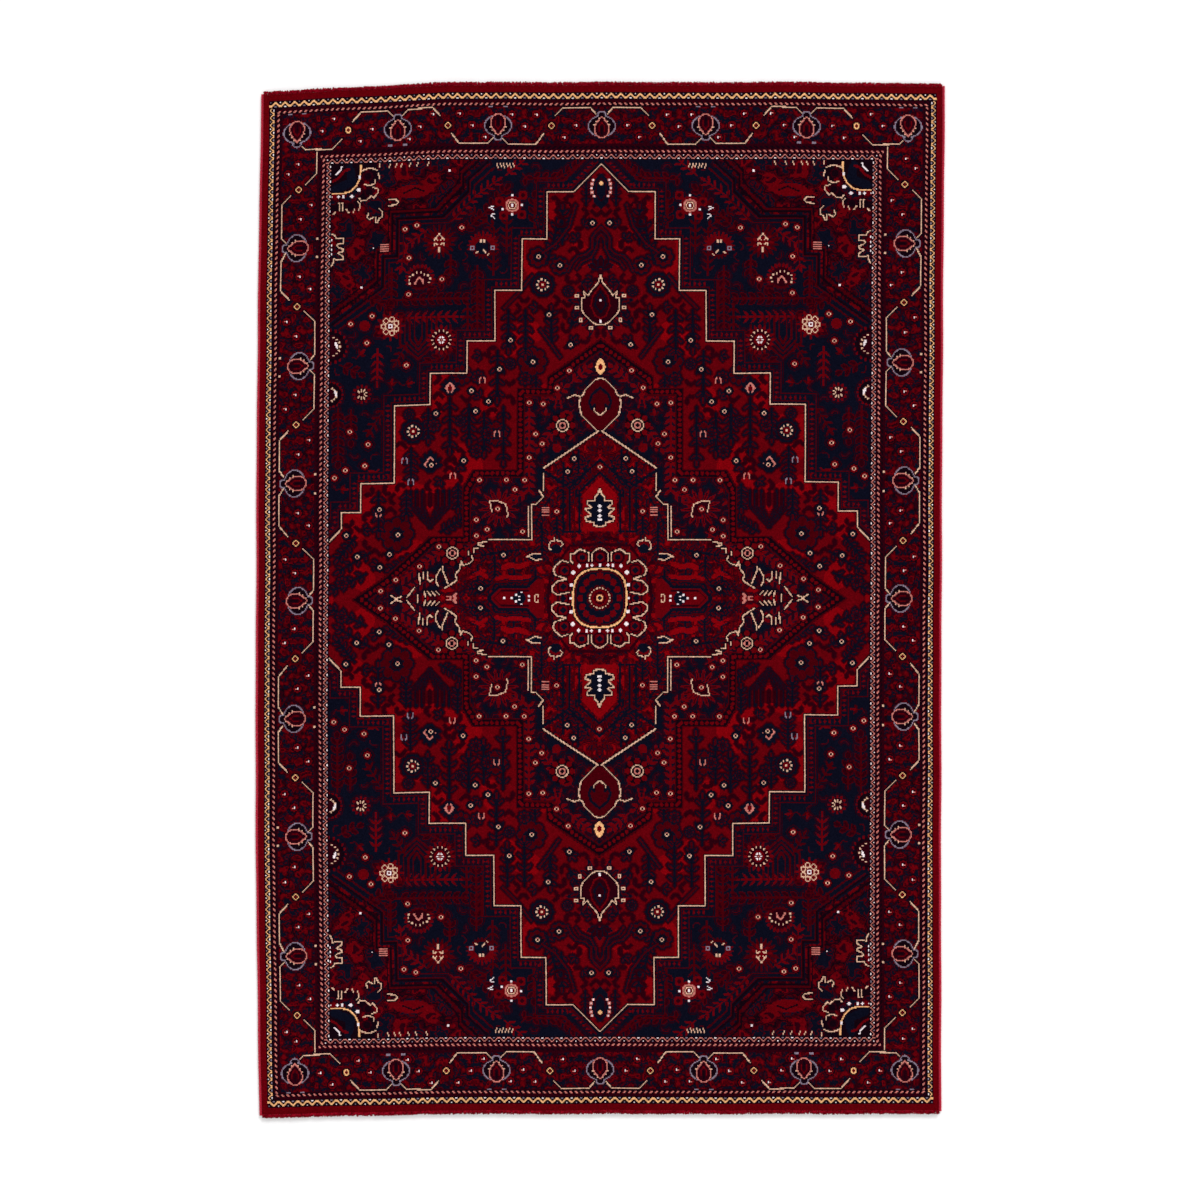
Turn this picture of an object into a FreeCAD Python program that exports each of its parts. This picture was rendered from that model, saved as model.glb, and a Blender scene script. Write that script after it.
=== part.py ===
"""Pile-woven area rug, 2 m by 3 m, lying flat.

The rug is a woven ground with a latex film under it and cut pile over it. Both short ends of the ground
are folded under and sewn down, and the last pile rows lean out over the fold. Both long sides are
overcast with yarn round a cord. The pile is grouped by the zones of the woven design, from the plain
band at the edge to the rosette at the centre.

Frame: X across the rug, Y along it, Z up from the floor. The origin is the middle of the underside.
"""

import FreeCAD
import Part
import os

import Sketcher

V = FreeCAD.Vector
PARTS = "parts"

doc = FreeCAD.newDocument("area_rug")

# Driving dimensions, in millimetres. Every one can be changed by itself.
SIZES = {
    # the whole rug
    "rug_width": 2000,
    "rug_length": 3000,
    # thicknesses, from the floor up
    "film_thickness": 1,
    "weave_thickness": 2.4,
    "pile_height": 8,
    # long sides: overcast bead round a cord
    "serging_width": 9,
    "serging_height": 9,
    "cord_diameter": 4,
    # short ends: the fold, its seam and the tufts that lean out over it
    "tuft_overhang": 6,
    "tuft_root_depth": 4,
    "tuft_tip_height": 3.6,
    "hem_depth": 35,
    "seam_inset": 25,
    "thread_width": 0.8,
    "thread_depth": 0.6,
    # widths of the bands on the long sides, from the edge inwards
    "plain_band_side": 12.5,
    "outer_guard_side": 18.75,
    "outer_dashes_side": 21.875,
    "main_border_side": 112.5,
    "inner_dashes_side": 18.75,
    "inner_guard_side": 18.75,
    # widths of the bands on the short ends, from the edge inwards
    "plain_band_end": 15,
    "outer_guard_end": 25,
    "outer_dashes_end": 18.75,
    "main_border_end": 115.625,
    "inner_dashes_end": 21.875,
    "inner_guard_end": 18.75,
    # half sizes of the rosette at the centre, and how far its corners are cut
    "rosette_half_x": 134,
    "rosette_half_y": 140,
    "rosette_corner_cut": 45,
}

# First quarter of each nested medallion's stepped outline, from the Y axis round to the X axis.
MEDALLION_STEPS = [
    (0, 1259), (78, 1181), (156, 1181), (156, 1044), (228, 1044), (228, 894), (306, 894), (306, 747),
    (388, 747), (388, 653), (494, 653), (494, 563), (597, 563), (597, 338), (694, 338), (694, 253),
    (750, 253), (750, 206), (956, 0),
]
CARTOUCHE_STEPS = [
    (0, 756), (156, 647), (156, 613), (244, 613), (244, 375), (372, 375), (400, 325), (400, 181),
    (497, 181), (625, 69), (725, 0),
]
CROSS_STEPS = [
    (0, 484), (163, 378), (163, 281), (197, 281), (197, 169), (322, 169), (369, 138), (406, 100),
    (419, 56), (453, 28), (594, 0),
]
# Inner edge of a spandrel, as distances (across, along) in from its own corner of the field.
SPANDREL_STEPS = [
    (0, 463), (147, 356), (147, 269), (188, 269), (188, 159), (319, 159), (394, 84), (394, 50), (450, 0),
]
OUTLINES = {
    "medallion": MEDALLION_STEPS,
    "cartouche": CARTOUCHE_STEPS,
    "cross": CROSS_STEPS,
    "spandrel": SPANDREL_STEPS,
}
# The four quarters of the field: name, sign of X, sign of Y.
QUARTERS = [
    ("head_left", -1, 1),
    ("head_right", 1, 1),
    ("foot_left", -1, -1),
    ("foot_right", 1, -1),
]


def fill_sheet():
    """Puts each driving dimension and each outline corner in the sheet, under its own alias."""
    sheet = doc.addObject("Spreadsheet::Sheet", "sizes")
    cells = dict(SIZES)
    for name, corners in OUTLINES.items():
        for i, (x, y) in enumerate(corners):
            cells[f"{name}_corner_{i}_x"] = x
            cells[f"{name}_corner_{i}_y"] = y
    for row, (alias, value) in enumerate(cells.items(), start=1):
        sheet.set(f"A{row}", alias)
        sheet.set(f"B{row}", str(value))
        sheet.setAlias(f"B{row}", alias)
    doc.recompute()
    return sheet


sizes = fill_sheet()


def cell(alias):
    """An expression for one size."""
    return f"sizes.{alias}"


def value_of(expression):
    """The present value of an expression, as a sketch's starting guess."""
    return float(sizes.evalExpression(expression))


def signed(sign, expression):
    """The expression, negated where sign is below zero."""
    return f"(-1 * {expression})" if sign < 0 else expression


# Heights of the layers, as expressions.
WEAVE_TOP = f"({cell('film_thickness')} + {cell('weave_thickness')})"
PILE_TOP = f"({WEAVE_TOP} + {cell('pile_height')})"
# The woven area lies between the two beads, and its ends are the folds.
WOVEN_HALF_WIDTH = f"({cell('rug_width')} / 2 - {cell('serging_width')})"
FOLD_HALF_LENGTH = f"({cell('rug_length')} / 2 - {cell('tuft_overhang')})"
UPRIGHT_HALF_LENGTH = f"({FOLD_HALF_LENGTH} - {cell('tuft_root_depth')})"
HEM_HALF_LENGTH = f"({FOLD_HALF_LENGTH} - {cell('hem_depth')})"
SEAM_HALF_LENGTH = f"({FOLD_HALF_LENGTH} - {cell('seam_inset')})"
# The cord runs down the middle of the bead's round side.
CORD_X = f"({WOVEN_HALF_WIDTH} + {cell('serging_width')} - {cell('serging_height')} / 2)"
CORD_Z = f"({cell('serging_height')} / 2)"
CORD_RADIUS = f"({cell('cord_diameter')} / 2)"

BANDS = ["plain_band", "outer_guard", "outer_dashes", "main_border", "inner_dashes", "inner_guard"]


def band_rectangle(count):
    """Half width and half length of the design inside its first count bands, as expressions."""
    half_x, half_y = WOVEN_HALF_WIDTH, UPRIGHT_HALF_LENGTH
    for band in BANDS[:count]:
        half_x = f"({half_x} - {cell(band + '_side')})"
        half_y = f"({half_y} - {cell(band + '_end')})"
    return half_x, half_y


FIELD_HALF_X, FIELD_HALF_Y = band_rectangle(len(BANDS))


# --- sketching ----------------------------------------------------------------------------------------


def new_body(name):
    """An empty body whose label names its node."""
    made = doc.addObject("PartDesign::Body", name)
    made.Label = name
    return made


def new_sketch(body, role, height=None):
    """A sketch on one of the body's own origin planes, raised to a height if one is given."""
    sketch = body.newObject("Sketcher::SketchObject", body.Name + "_sketch")
    plane = next(f for f in body.Origin.OriginFeatures if f.Role == role)
    sketch.AttachmentSupport = [(plane, "")]
    sketch.MapMode = "FlatFace"
    if height:
        sketch.setExpression("AttachmentOffset.Base.z", height)
    return sketch


def place(sketch, edge, end, x, y):
    """Ties a point of an edge to (x, y), two expressions. None keeps the point on that axis."""
    for kind, expression, axis in (("DistanceX", x, -2), ("DistanceY", y, -1)):
        if expression is None:
            sketch.addConstraint(Sketcher.Constraint("PointOnObject", edge, end, axis))
        else:
            guess = value_of(expression)
            index = sketch.addConstraint(Sketcher.Constraint(kind, -1, 1, edge, end, guess))
            sketch.setExpression(f"Constraints[{index}]", expression)


def set_radius(sketch, edge, expression):
    """Ties the radius of a circle or an arc to an expression."""
    index = sketch.addConstraint(Sketcher.Constraint("Radius", edge, value_of(expression)))
    sketch.setExpression(f"Constraints[{index}]", expression)


def closed_outline(sketch, corners, arcs=()):
    """Joins corners, each (x, y) as expressions or None for zero, anticlockwise.

    arcs lists the edges that are upright half circles instead of straight lines, by first corner.
    """
    points = [V(value_of(x) if x else 0, value_of(y) if y else 0, 0) for x, y in corners]
    total = len(points)
    first = sketch.GeometryCount
    for i, start in enumerate(points):
        end = points[(i + 1) % total]
        if i in arcs:
            chord = end - start
            bulge = V(chord.y, -chord.x, 0) * 0.5
            sketch.addGeometry(Part.Arc(start, (start + end) * 0.5 + bulge, end))
        else:
            sketch.addGeometry(Part.LineSegment(start, end))
    for i in range(total):
        joint = Sketcher.Constraint("Coincident", first + i, 2, first + (i + 1) % total, 1)
        sketch.addConstraint(joint)
    for i in arcs:
        sketch.addConstraint(Sketcher.Constraint("Vertical", first + i, 3, first + i, 1))
    for i, (x, y) in enumerate(corners):
        place(sketch, first + i, 1, x, y)


def rectangle(sketch, half_x, half_y):
    """A rectangle centred on the sketch's origin."""
    left = signed(-1, half_x)
    low = signed(-1, half_y)
    closed_outline(sketch, [(left, low), (half_x, low), (half_x, half_y), (left, half_y)])


def pad(body, sketch, length, both_ways=False):
    """Pads a sketch, along its normal or by half to each side of it."""
    made = body.newObject("PartDesign::Pad", body.Name + "_pad")
    made.Profile = sketch
    made.setExpression("Length", length)
    if both_ways:
        made.SideType = "Symmetric"
    body.Tip = made
    return made


# --- ground weave, its two seams and the film under it ------------------------------------------------


def build_ground_weave():
    """Woven ground. Its profile along Y holds the sheet, the round folds and the hems under it."""
    body = new_body("ground_weave")
    profile = new_sketch(body, "YZ_Plane")
    fold_centre = f"({FOLD_HALF_LENGTH} - {WEAVE_TOP} / 2)"
    groove_out = f"({SEAM_HALF_LENGTH} + {cell('thread_width')} / 2)"
    groove_in = f"({SEAM_HALF_LENGTH} - {cell('thread_width')} / 2)"
    half = [
        (HEM_HALF_LENGTH, cell("film_thickness")),
        (HEM_HALF_LENGTH, None),
        (groove_in, None),
        (groove_in, cell("thread_depth")),
        (groove_out, cell("thread_depth")),
        (groove_out, None),
        (fold_centre, None),
        (fold_centre, WEAVE_TOP),
    ]
    other_half = [(signed(-1, x), z) for x, z in reversed(half)]
    folds = (len(half) - 2, len(half))
    closed_outline(profile, half + other_half, arcs=folds)
    pad(body, profile, f"2 * {WOVEN_HALF_WIDTH}", both_ways=True)
    return body


def build_backing_film():
    """Latex film, between the two hems and flush with them."""
    body = new_body("backing_film")
    outline = new_sketch(body, "XY_Plane")
    rectangle(outline, WOVEN_HALF_WIDTH, HEM_HALF_LENGTH)
    pad(body, outline, cell("film_thickness"))
    return body


def build_hem_thread(name, sign):
    """The thread that holds one hem, in its groove."""
    thread = doc.addObject("Part::Box", name)
    thread.Label = name
    thread.setExpression("Length", f"2 * {WOVEN_HALF_WIDTH}")
    thread.setExpression("Width", cell("thread_width"))
    thread.setExpression("Height", cell("thread_depth"))
    thread.setExpression("Placement.Base.x", signed(-1, WOVEN_HALF_WIDTH))
    middle = signed(sign, SEAM_HALF_LENGTH)
    thread.setExpression("Placement.Base.y", f"{middle} - {cell('thread_width')} / 2")
    return thread


# --- edges: tufts at the short ends, corded beads on the long sides -----------------------------------


def build_end_tufts(name, sign):
    """The last pile rows, which lean out over one fold."""
    body = new_body(name)
    profile = new_sketch(body, "YZ_Plane")
    root = signed(sign, UPRIGHT_HALF_LENGTH)
    tip = signed(sign, f"({cell('rug_length')} / 2)")
    tip_top = f"({WEAVE_TOP} + {cell('tuft_tip_height')})"
    closed_outline(profile, [(root, WEAVE_TOP), (tip, WEAVE_TOP), (tip, tip_top), (root, PILE_TOP)])
    pad(body, profile, f"2 * {WOVEN_HALF_WIDTH}", both_ways=True)
    return body


def build_serging(name, sign):
    """Overcast yarn: a bead with a flat side on the rug's edge, a round outer side and a cord's bore."""
    body = new_body(name)
    profile = new_sketch(body, "XZ_Plane")
    inner = signed(sign, WOVEN_HALF_WIDTH)
    crown = signed(sign, CORD_X)
    top = cell("serging_height")
    low_to_high = [(inner, None), (crown, None), (crown, top), (inner, top)]
    corners = low_to_high if sign > 0 else [low_to_high[i] for i in (1, 0, 3, 2)]
    closed_outline(profile, corners, arcs=(1,) if sign > 0 else (3,))
    add_cord_circle(profile, sign)
    pad(body, profile, f"2 * {FOLD_HALF_LENGTH}", both_ways=True)
    return body


def add_cord_circle(profile, sign):
    """The cord's own section."""
    x = signed(sign, CORD_X)
    centre = V(value_of(x), value_of(CORD_Z), 0)
    edge = profile.addGeometry(Part.Circle(centre, V(0, 0, 1), value_of(CORD_RADIUS)))
    set_radius(profile, edge, CORD_RADIUS)
    place(profile, edge, 3, x, CORD_Z)


def build_cord(name, sign):
    """Twisted cord inside one bead."""
    body = new_body(name)
    profile = new_sketch(body, "XZ_Plane")
    add_cord_circle(profile, sign)
    pad(body, profile, f"2 * {FOLD_HALF_LENGTH}", both_ways=True)
    return body


# --- pile: bands round the edge -----------------------------------------------------------------------


def build_band(name, position):
    """One band of pile, between two rectangles of the design."""
    body = new_body(name)
    outline = new_sketch(body, "XY_Plane", WEAVE_TOP)
    rectangle(outline, *band_rectangle(position))
    rectangle(outline, *band_rectangle(position + 1))
    pad(body, outline, cell("pile_height"))
    return body


# --- pile: the field, its spandrels and the nested medallions -----------------------------------------


def corner_of(name, i):
    """One corner of a stepped outline, as two expressions."""
    return cell(f"{name}_corner_{i}_x"), cell(f"{name}_corner_{i}_y")


def build_stepped_block(name, outline_name):
    """A block of pile with a stepped outline, mirrored from its first quarter."""
    body = new_body(name)
    quarter = new_sketch(body, "XY_Plane", WEAVE_TOP)
    total = len(OUTLINES[outline_name])
    corners = [corner_of(outline_name, i) for i in reversed(range(total))]
    corners[0] = (corners[0][0], None)
    corners[-1] = (None, corners[-1][1])
    closed_outline(quarter, [(None, None)] + corners)
    pad(body, quarter, cell("pile_height"))
    for role in ("YZ_Plane", "XZ_Plane"):
        mirror = body.newObject("PartDesign::Mirrored", f"{name}_over_{role}")
        mirror.TransformMode = "Whole shape"
        plane = next(f for f in body.Origin.OriginFeatures if f.Role == role)
        mirror.MirrorPlane = (plane, [""])
        body.Tip = mirror
        doc.recompute()
    return body


def build_field_block():
    """The whole field, as one block of pile."""
    body = new_body("field_block")
    outline = new_sketch(body, "XY_Plane", WEAVE_TOP)
    rectangle(outline, FIELD_HALF_X, FIELD_HALF_Y)
    pad(body, outline, cell("pile_height"))
    return body


def build_rosette():
    """The rosette at the centre, a block with cut corners."""
    body = new_body("pile_centre_rosette")
    outline = new_sketch(body, "XY_Plane", WEAVE_TOP)
    half_x = cell("rosette_half_x")
    half_y = cell("rosette_half_y")
    short_x = f"({half_x} - {cell('rosette_corner_cut')})"
    short_y = f"({half_y} - {cell('rosette_corner_cut')})"
    corners = [
        (half_x, signed(-1, short_y)),
        (half_x, short_y),
        (short_x, half_y),
        (signed(-1, short_x), half_y),
        (signed(-1, half_x), short_y),
        (signed(-1, half_x), signed(-1, short_y)),
        (signed(-1, short_x), signed(-1, half_y)),
        (short_x, signed(-1, half_y)),
    ]
    closed_outline(outline, corners)
    pad(body, outline, cell("pile_height"))
    return body


def build_spandrel(name, sign_x, sign_y):
    """The spandrel in one corner of the field."""
    body = new_body(name)
    outline = new_sketch(body, "XY_Plane", WEAVE_TOP)
    corners = [(signed(sign_x, FIELD_HALF_X), signed(sign_y, FIELD_HALF_Y))]
    for i in range(len(SPANDREL_STEPS)):
        across, along = corner_of("spandrel", i)
        x = signed(sign_x, f"({FIELD_HALF_X} - {across})")
        y = signed(sign_y, f"({FIELD_HALF_Y} - {along})")
        corners.append((x, y))
    closed_outline(outline, corners)
    pad(body, outline, cell("pile_height"))
    return body


def build_field_quarter(name, sign_x, sign_y):
    """One quarter of the field, before the medallion and the spandrel are taken out."""
    body = new_body(name)
    outline = new_sketch(body, "XY_Plane", WEAVE_TOP)
    x = signed(sign_x, FIELD_HALF_X)
    y = signed(sign_y, FIELD_HALF_Y)
    closed_outline(outline, [(None, None), (x, None), (x, y), (None, y)])
    pad(body, outline, cell("pile_height"))
    return body


def combine(kind, name, base, tool):
    """A boolean of two objects. kind is Part::Cut or Part::Common."""
    made = doc.addObject(kind, name)
    made.Base = base
    made.Tool = tool
    made.Label = name
    return made


# --- assembly -----------------------------------------------------------------------------------------

nodes = [
    build_ground_weave(),
    build_backing_film(),
    build_hem_thread("hem_thread_head", 1),
    build_hem_thread("hem_thread_foot", -1),
    build_end_tufts("end_tufts_head", 1),
    build_end_tufts("end_tufts_foot", -1),
    build_serging("serging_left", -1),
    build_serging("serging_right", 1),
    build_cord("serging_cord_left", -1),
    build_cord("serging_cord_right", 1),
]
for position, band in enumerate(BANDS):
    nodes.append(build_band("pile_" + band, position))

rosette = build_rosette()
field = build_field_block()
# Each block is kept inside the field, however small the field is made.
blocks = {}
for outline in ("medallion", "cartouche", "cross"):
    whole = build_stepped_block(outline + "_block", outline)
    blocks[outline] = combine("Part::Common", outline + "_in_field", whole, field)
nodes += [
    combine("Part::Cut", "pile_medallion", blocks["medallion"], blocks["cartouche"]),
    combine("Part::Cut", "pile_cartouche", blocks["cartouche"], blocks["cross"]),
    combine("Part::Cut", "pile_cross", blocks["cross"], rosette),
    rosette,
]
for quarter, sign_x, sign_y in QUARTERS:
    spandrel = build_spandrel("pile_spandrel_" + quarter, sign_x, sign_y)
    ground = build_field_quarter("ground_block_" + quarter, sign_x, sign_y)
    outside = combine("Part::Cut", "ground_outside_" + quarter, ground, blocks["medallion"])
    nodes.append(spandrel)
    nodes.append(combine("Part::Cut", "pile_field_" + quarter, outside, spandrel))

doc.recompute()

for item in doc.Objects:
    if "Invalid" in item.State or "Error" in item.State:
        raise RuntimeError(f"{item.Label} failed to build: {item.State}")
for node in nodes:
    if node.Shape.isNull() or not node.Shape.isValid():
        raise RuntimeError(f"{node.Label} has no valid solid")

os.makedirs(PARTS, exist_ok=True)
for node in nodes:
    node.Shape.exportStep(os.path.join(PARTS, node.Label + ".step"))
    box = node.Shape.BoundBox
    print(f"{node.Label}: {len(node.Shape.Solids)} solid, {node.Shape.Volume / 1000:.1f} cm3,"
          f" z {box.ZMin:.2f} to {box.ZMax:.2f}")
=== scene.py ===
"""Woven pile area rug, 2 m by 3 m, lying flat: its looks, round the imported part.

Metres. X runs across the rug, Y along it towards the head, and Z up from the floor. Each section makes one
piece or one group of pieces, in the order in which the rug is made.
"""

import math

import bpy
import numpy as np
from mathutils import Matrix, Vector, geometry


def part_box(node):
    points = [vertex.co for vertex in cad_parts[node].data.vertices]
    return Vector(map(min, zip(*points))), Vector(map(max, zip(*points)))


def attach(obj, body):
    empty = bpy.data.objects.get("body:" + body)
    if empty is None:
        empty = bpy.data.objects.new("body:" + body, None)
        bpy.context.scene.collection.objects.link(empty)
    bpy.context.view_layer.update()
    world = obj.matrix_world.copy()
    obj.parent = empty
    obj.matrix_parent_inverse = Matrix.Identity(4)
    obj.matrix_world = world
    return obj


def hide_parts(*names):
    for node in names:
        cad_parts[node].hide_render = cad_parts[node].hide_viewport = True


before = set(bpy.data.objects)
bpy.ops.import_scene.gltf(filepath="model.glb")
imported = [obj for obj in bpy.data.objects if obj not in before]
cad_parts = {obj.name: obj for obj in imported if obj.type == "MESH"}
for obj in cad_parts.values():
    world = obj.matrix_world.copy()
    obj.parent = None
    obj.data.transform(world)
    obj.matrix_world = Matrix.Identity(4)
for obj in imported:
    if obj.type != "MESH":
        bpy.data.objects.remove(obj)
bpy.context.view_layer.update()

# === GROUND WEAVE ======================================================================================
# Plain weave of undyed jute and polyester yarns, which holds the pile. At the head and the foot it is folded
# under as a hem. The edges bow and pull a little, as those of any woven rug do.

_, WEAVE_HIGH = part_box("ground_weave")
_, FILM_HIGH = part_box("backing_film")
WOVEN_HALF, FOLD_HALF, WEAVE_TOP = WEAVE_HIGH
_, HEM_HALF, FILM_TOP = FILM_HIGH
RUG_HALF_WIDTH, RUG_HALF_LENGTH = 1.0, 1.5


def laid(points):
    """Moves points of the true rectangle to where they lie in the bowed rug."""
    points = np.array(points, float).reshape(-1, 3)
    u = points[:, 0] / RUG_HALF_WIDTH
    v = points[:, 1] / RUG_HALF_LENGTH
    head = 0.0076 - 0.052 * np.clip(-u - 0.45, 0, 1) - 0.012 * np.clip(u - 0.6, 0, 1)
    foot = -0.0044 - 0.0125 * np.clip((-u - 0.4) / 0.6, 0, 2) ** 1.2
    left = -0.0065 + 0.0145 * v * v + 0.0012 * v - 0.0035 * np.clip(-2.5 * v, 0, 1)
    right = -0.0025 + 0.0053 * v + 0.0043 * v * v
    points[:, 0] += left * ((1 - u) / 2) ** 2 + right * ((1 + u) / 2) ** 2
    points[:, 1] += head * ((1 + v) / 2) ** 2 + foot * ((1 - v) / 2) ** 2
    points[:, 0] += 0.0008 * np.sin(7.0 * v + 1.0) * np.sin(23.0 * v)
    points[:, 1] += 0.0009 * np.sin(5.0 * u + 2.0) * np.sin(19.0 * u + 1.0)
    return points


def new_piece(name, points, faces, material, smooth=False):
    """A mesh object at the origin, with its place in its mesh."""
    mesh = bpy.data.meshes.new(name)
    mesh.from_pydata([tuple(p) for p in points], [], [tuple(f) for f in faces])
    mesh.materials.append(material)
    mesh.shade_smooth() if smooth else mesh.shade_flat()
    made = bpy.data.objects.new(name, mesh)
    bpy.context.scene.collection.objects.link(made)
    return made


def stands_for(piece, node):
    """The piece lies with the rug in place of a node of the frame, which is hidden."""
    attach(piece, "root")
    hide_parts(node)
    return piece


def fed(node, values):
    """Fills a node's inputs, each with a number, with an output, or with another node's first output."""
    for key, value in values.items():
        if isinstance(value, bpy.types.Node):
            value = value.outputs[0]
        if isinstance(value, bpy.types.NodeSocket):
            node.id_data.links.new(value, node.inputs[key])
        else:
            node.inputs[key].default_value = value
    return node


def add(tree, kind, values={}, **settings):
    """A new node with its settings and inputs."""
    made = tree.nodes.new(kind)
    for key, value in settings.items():
        setattr(made, key, value)
    return fed(made, values)


def maths(tree, operation, *values):
    """A sum of numbers and outputs."""
    return add(tree, "ShaderNodeMath", dict(enumerate(values)), operation=operation)


def new_group(name, inputs, outputs, kind="NodeSocketFloat"):
    """An empty shader node group, with its inputs, its outlet, and the place on the piece."""
    tree = bpy.data.node_groups.new(name, "ShaderNodeTree")
    for label, value in inputs.items():
        tree.interface.new_socket(label, in_out="INPUT", socket_type="NodeSocketFloat").default_value = value
    for label in outputs:
        tree.interface.new_socket(label, in_out="OUTPUT", socket_type=kind)
    return tree, tree.nodes.new("NodeGroupInput").outputs, tree.nodes.new("NodeGroupOutput"), spot_on(tree)


def spot_on(tree):
    """The place of each spot on its piece."""
    return add(tree, "ShaderNodeTexCoord").outputs["Object"]


def new_material(name, roughness, specular):
    """A material's tree, its Principled shader, and the place on the piece."""
    material = bpy.data.materials.new(name)
    material.use_nodes = True
    tree = material.node_tree
    shader = fed(tree.nodes["Principled BSDF"], {"Roughness": roughness, "Specular IOR Level": specular})
    return material, tree, shader, spot_on(tree)


def toned(tree, by, low, high, start=0.0, stop=1.0):
    """A colour between two, by a value."""
    tone = add(tree, "ShaderNodeValToRGB", {0: by})
    for end, position, colour in zip(tone.color_ramp.elements, (start, stop), (low, high)):
        end.position = position
        end.color = (*colour, 1)
    return tone


def finish(tree, shader, colour, shade, height, distance, strength):
    """Gives a shader its colour, darkened by a shade, and its relief."""
    dyed = add(tree, "ShaderNodeHueSaturation", {"Color": colour, "Value": shade})
    relief = add(tree, "ShaderNodeBump", {"Height": height, "Distance": distance, "Strength": strength})
    fed(shader, {"Base Color": dyed, "Normal": relief})


# plain weave: threads that pass over and under each other, as a height, and a painted shade that darkens the
# gaps between them
weave_group, inlet, outlet, place = new_group("plain_weave", {"Threads per metre": 420.0},
                                              ("Height", "Shade"))
wander = add(weave_group, "ShaderNodeTexNoise", {"Vector": place, "Scale": 60.0, "Detail": 2.0})
shift = {0: wander.outputs["Color"], 1: (0.0012,) * 3}
shift = add(weave_group, "ShaderNodeVectorMath", shift, operation="MULTIPLY")
moved = add(weave_group, "ShaderNodeVectorMath", {0: place, 1: shift}, operation="ADD")
scaled = add(weave_group, "ShaderNodeVectorMath", {0: moved, "Scale": inlet[0]}, operation="SCALE")
parts = add(weave_group, "ShaderNodeSeparateXYZ", {0: scaled})
warps = maths(weave_group, "SINE", maths(weave_group, "MULTIPLY", parts.outputs["X"], math.pi))
wefts = maths(weave_group, "SINE", maths(weave_group, "MULTIPLY", parts.outputs["Y"], math.pi))
height = maths(weave_group, "ABSOLUTE", maths(weave_group, "MULTIPLY", warps, wefts))
# painted shade: the colour drops to 0.62 in the gaps between threads and rises to 1.06 on their crowns
shade = add(weave_group, "ShaderNodeMapRange", {"Value": height, "To Min": 0.62, "To Max": 1.06})
fed(outlet, {"Height": height, "Shade": shade})

# spun fibre: fine hairs and slubs of any yarn, as a height and a shade
fibre_group, inlet, outlet, place = new_group("spun_fibre", {"Fineness": 900.0, "Contrast": 0.12},
                                              ("Height", "Shade"))
hairs = {"Vector": place, "Scale": inlet["Fineness"], "Detail": 3.0, "Roughness": 0.65}
hairs = add(fibre_group, "ShaderNodeTexNoise", hairs)
centred = maths(fibre_group, "MULTIPLY", maths(fibre_group, "SUBTRACT", hairs, 0.5), 3.0)
spread = maths(fibre_group, "MULTIPLY", centred, inlet["Contrast"])
fed(outlet, {"Height": hairs, "Shade": maths(fibre_group, "ADD", spread, 1.0)})

cloth, tree, shader, place = new_material("ground_cloth", 0.92, 0.15)
weave = add(tree, "ShaderNodeGroup", {"Threads per metre": 520.0}, node_tree=weave_group).outputs
fibre = add(tree, "ShaderNodeGroup", node_tree=fibre_group).outputs
cloud = add(tree, "ShaderNodeTexNoise", {"Vector": place, "Scale": 9.0, "Detail": 4.0})
tone = toned(tree, cloud, (0.50, 0.41, 0.29), (0.66, 0.57, 0.43), 0.35, 0.68)
# the colour is darkened by the weave's painted gap shade, and varied by the fibres' random tone
finish(tree, shader, tone, maths(tree, "MULTIPLY", weave["Shade"], fibre["Shade"]), weave["Height"],
       0.0006, 0.8)


def lofted(name, profile, stations, material):
    """A closed strip: a profile in YZ, anticlockwise as seen from +X, carried along X."""
    profile = np.array(profile, float)
    points = np.concatenate([np.column_stack([np.full(len(profile), x), profile]) for x in stations])
    n = len(profile)
    faces = [range(n)[::-1], range(n * (len(stations) - 1), n * len(stations))]
    for s in range(len(stations) - 1):
        for i in range(n):
            j = (i + 1) % n
            faces.append((n * s + i, n * s + j, n * (s + 1) + j, n * (s + 1) + i))
    return new_piece(name, laid(points), faces, material)


across_stations = np.linspace(-WOVEN_HALF, WOVEN_HALF, 49)
along_stations = np.linspace(-HEM_HALF, HEM_HALF, 61)
fold = WEAVE_TOP / 2
foot_fold = [(-FOLD_HALF + fold * (1 - math.sin(a)), fold * (1 + math.cos(a)))
             for a in np.linspace(0, math.pi, 9)]
head_fold = [(-y, z) for y, z in reversed(foot_fold)]
hem_round = [(HEM_HALF + 0.0004, 0), (HEM_HALF + 0.0001, 0.0002), (HEM_HALF, FILM_TOP)]
weave_profile = [(y, WEAVE_TOP) for y in along_stations[::-1]] + foot_fold
weave_profile += [(-y, z) for y, z in hem_round] + [(y, FILM_TOP) for y in along_stations[1:-1]]
weave_profile += hem_round[::-1] + head_fold
ground_weave = lofted("ground_weave_cloth", weave_profile, across_stations, cloth)
stands_for(ground_weave, "ground_weave")

# === BACKING FILM ======================================================================================
# A thin coat of latex, brushed over the underside between the two hems. It grips the floor and locks the
# tufts. The weave shows through it, and it is thicker where the brush overlapped.

latex, tree, shader, place = new_material("backing_latex", 0.55, 0.35)
weave = add(tree, "ShaderNodeGroup", {"Threads per metre": 320.0}, node_tree=weave_group).outputs
strokes = add(tree, "ShaderNodeMapping", {"Vector": place, "Scale": (2.0, 22.0, 1.0)})
brushed = add(tree, "ShaderNodeTexNoise", {"Vector": strokes, "Scale": 3.0, "Detail": 5.0})
tone = toned(tree, brushed, (0.43, 0.33, 0.21), (0.60, 0.51, 0.37), 0.3, 0.72)
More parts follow.
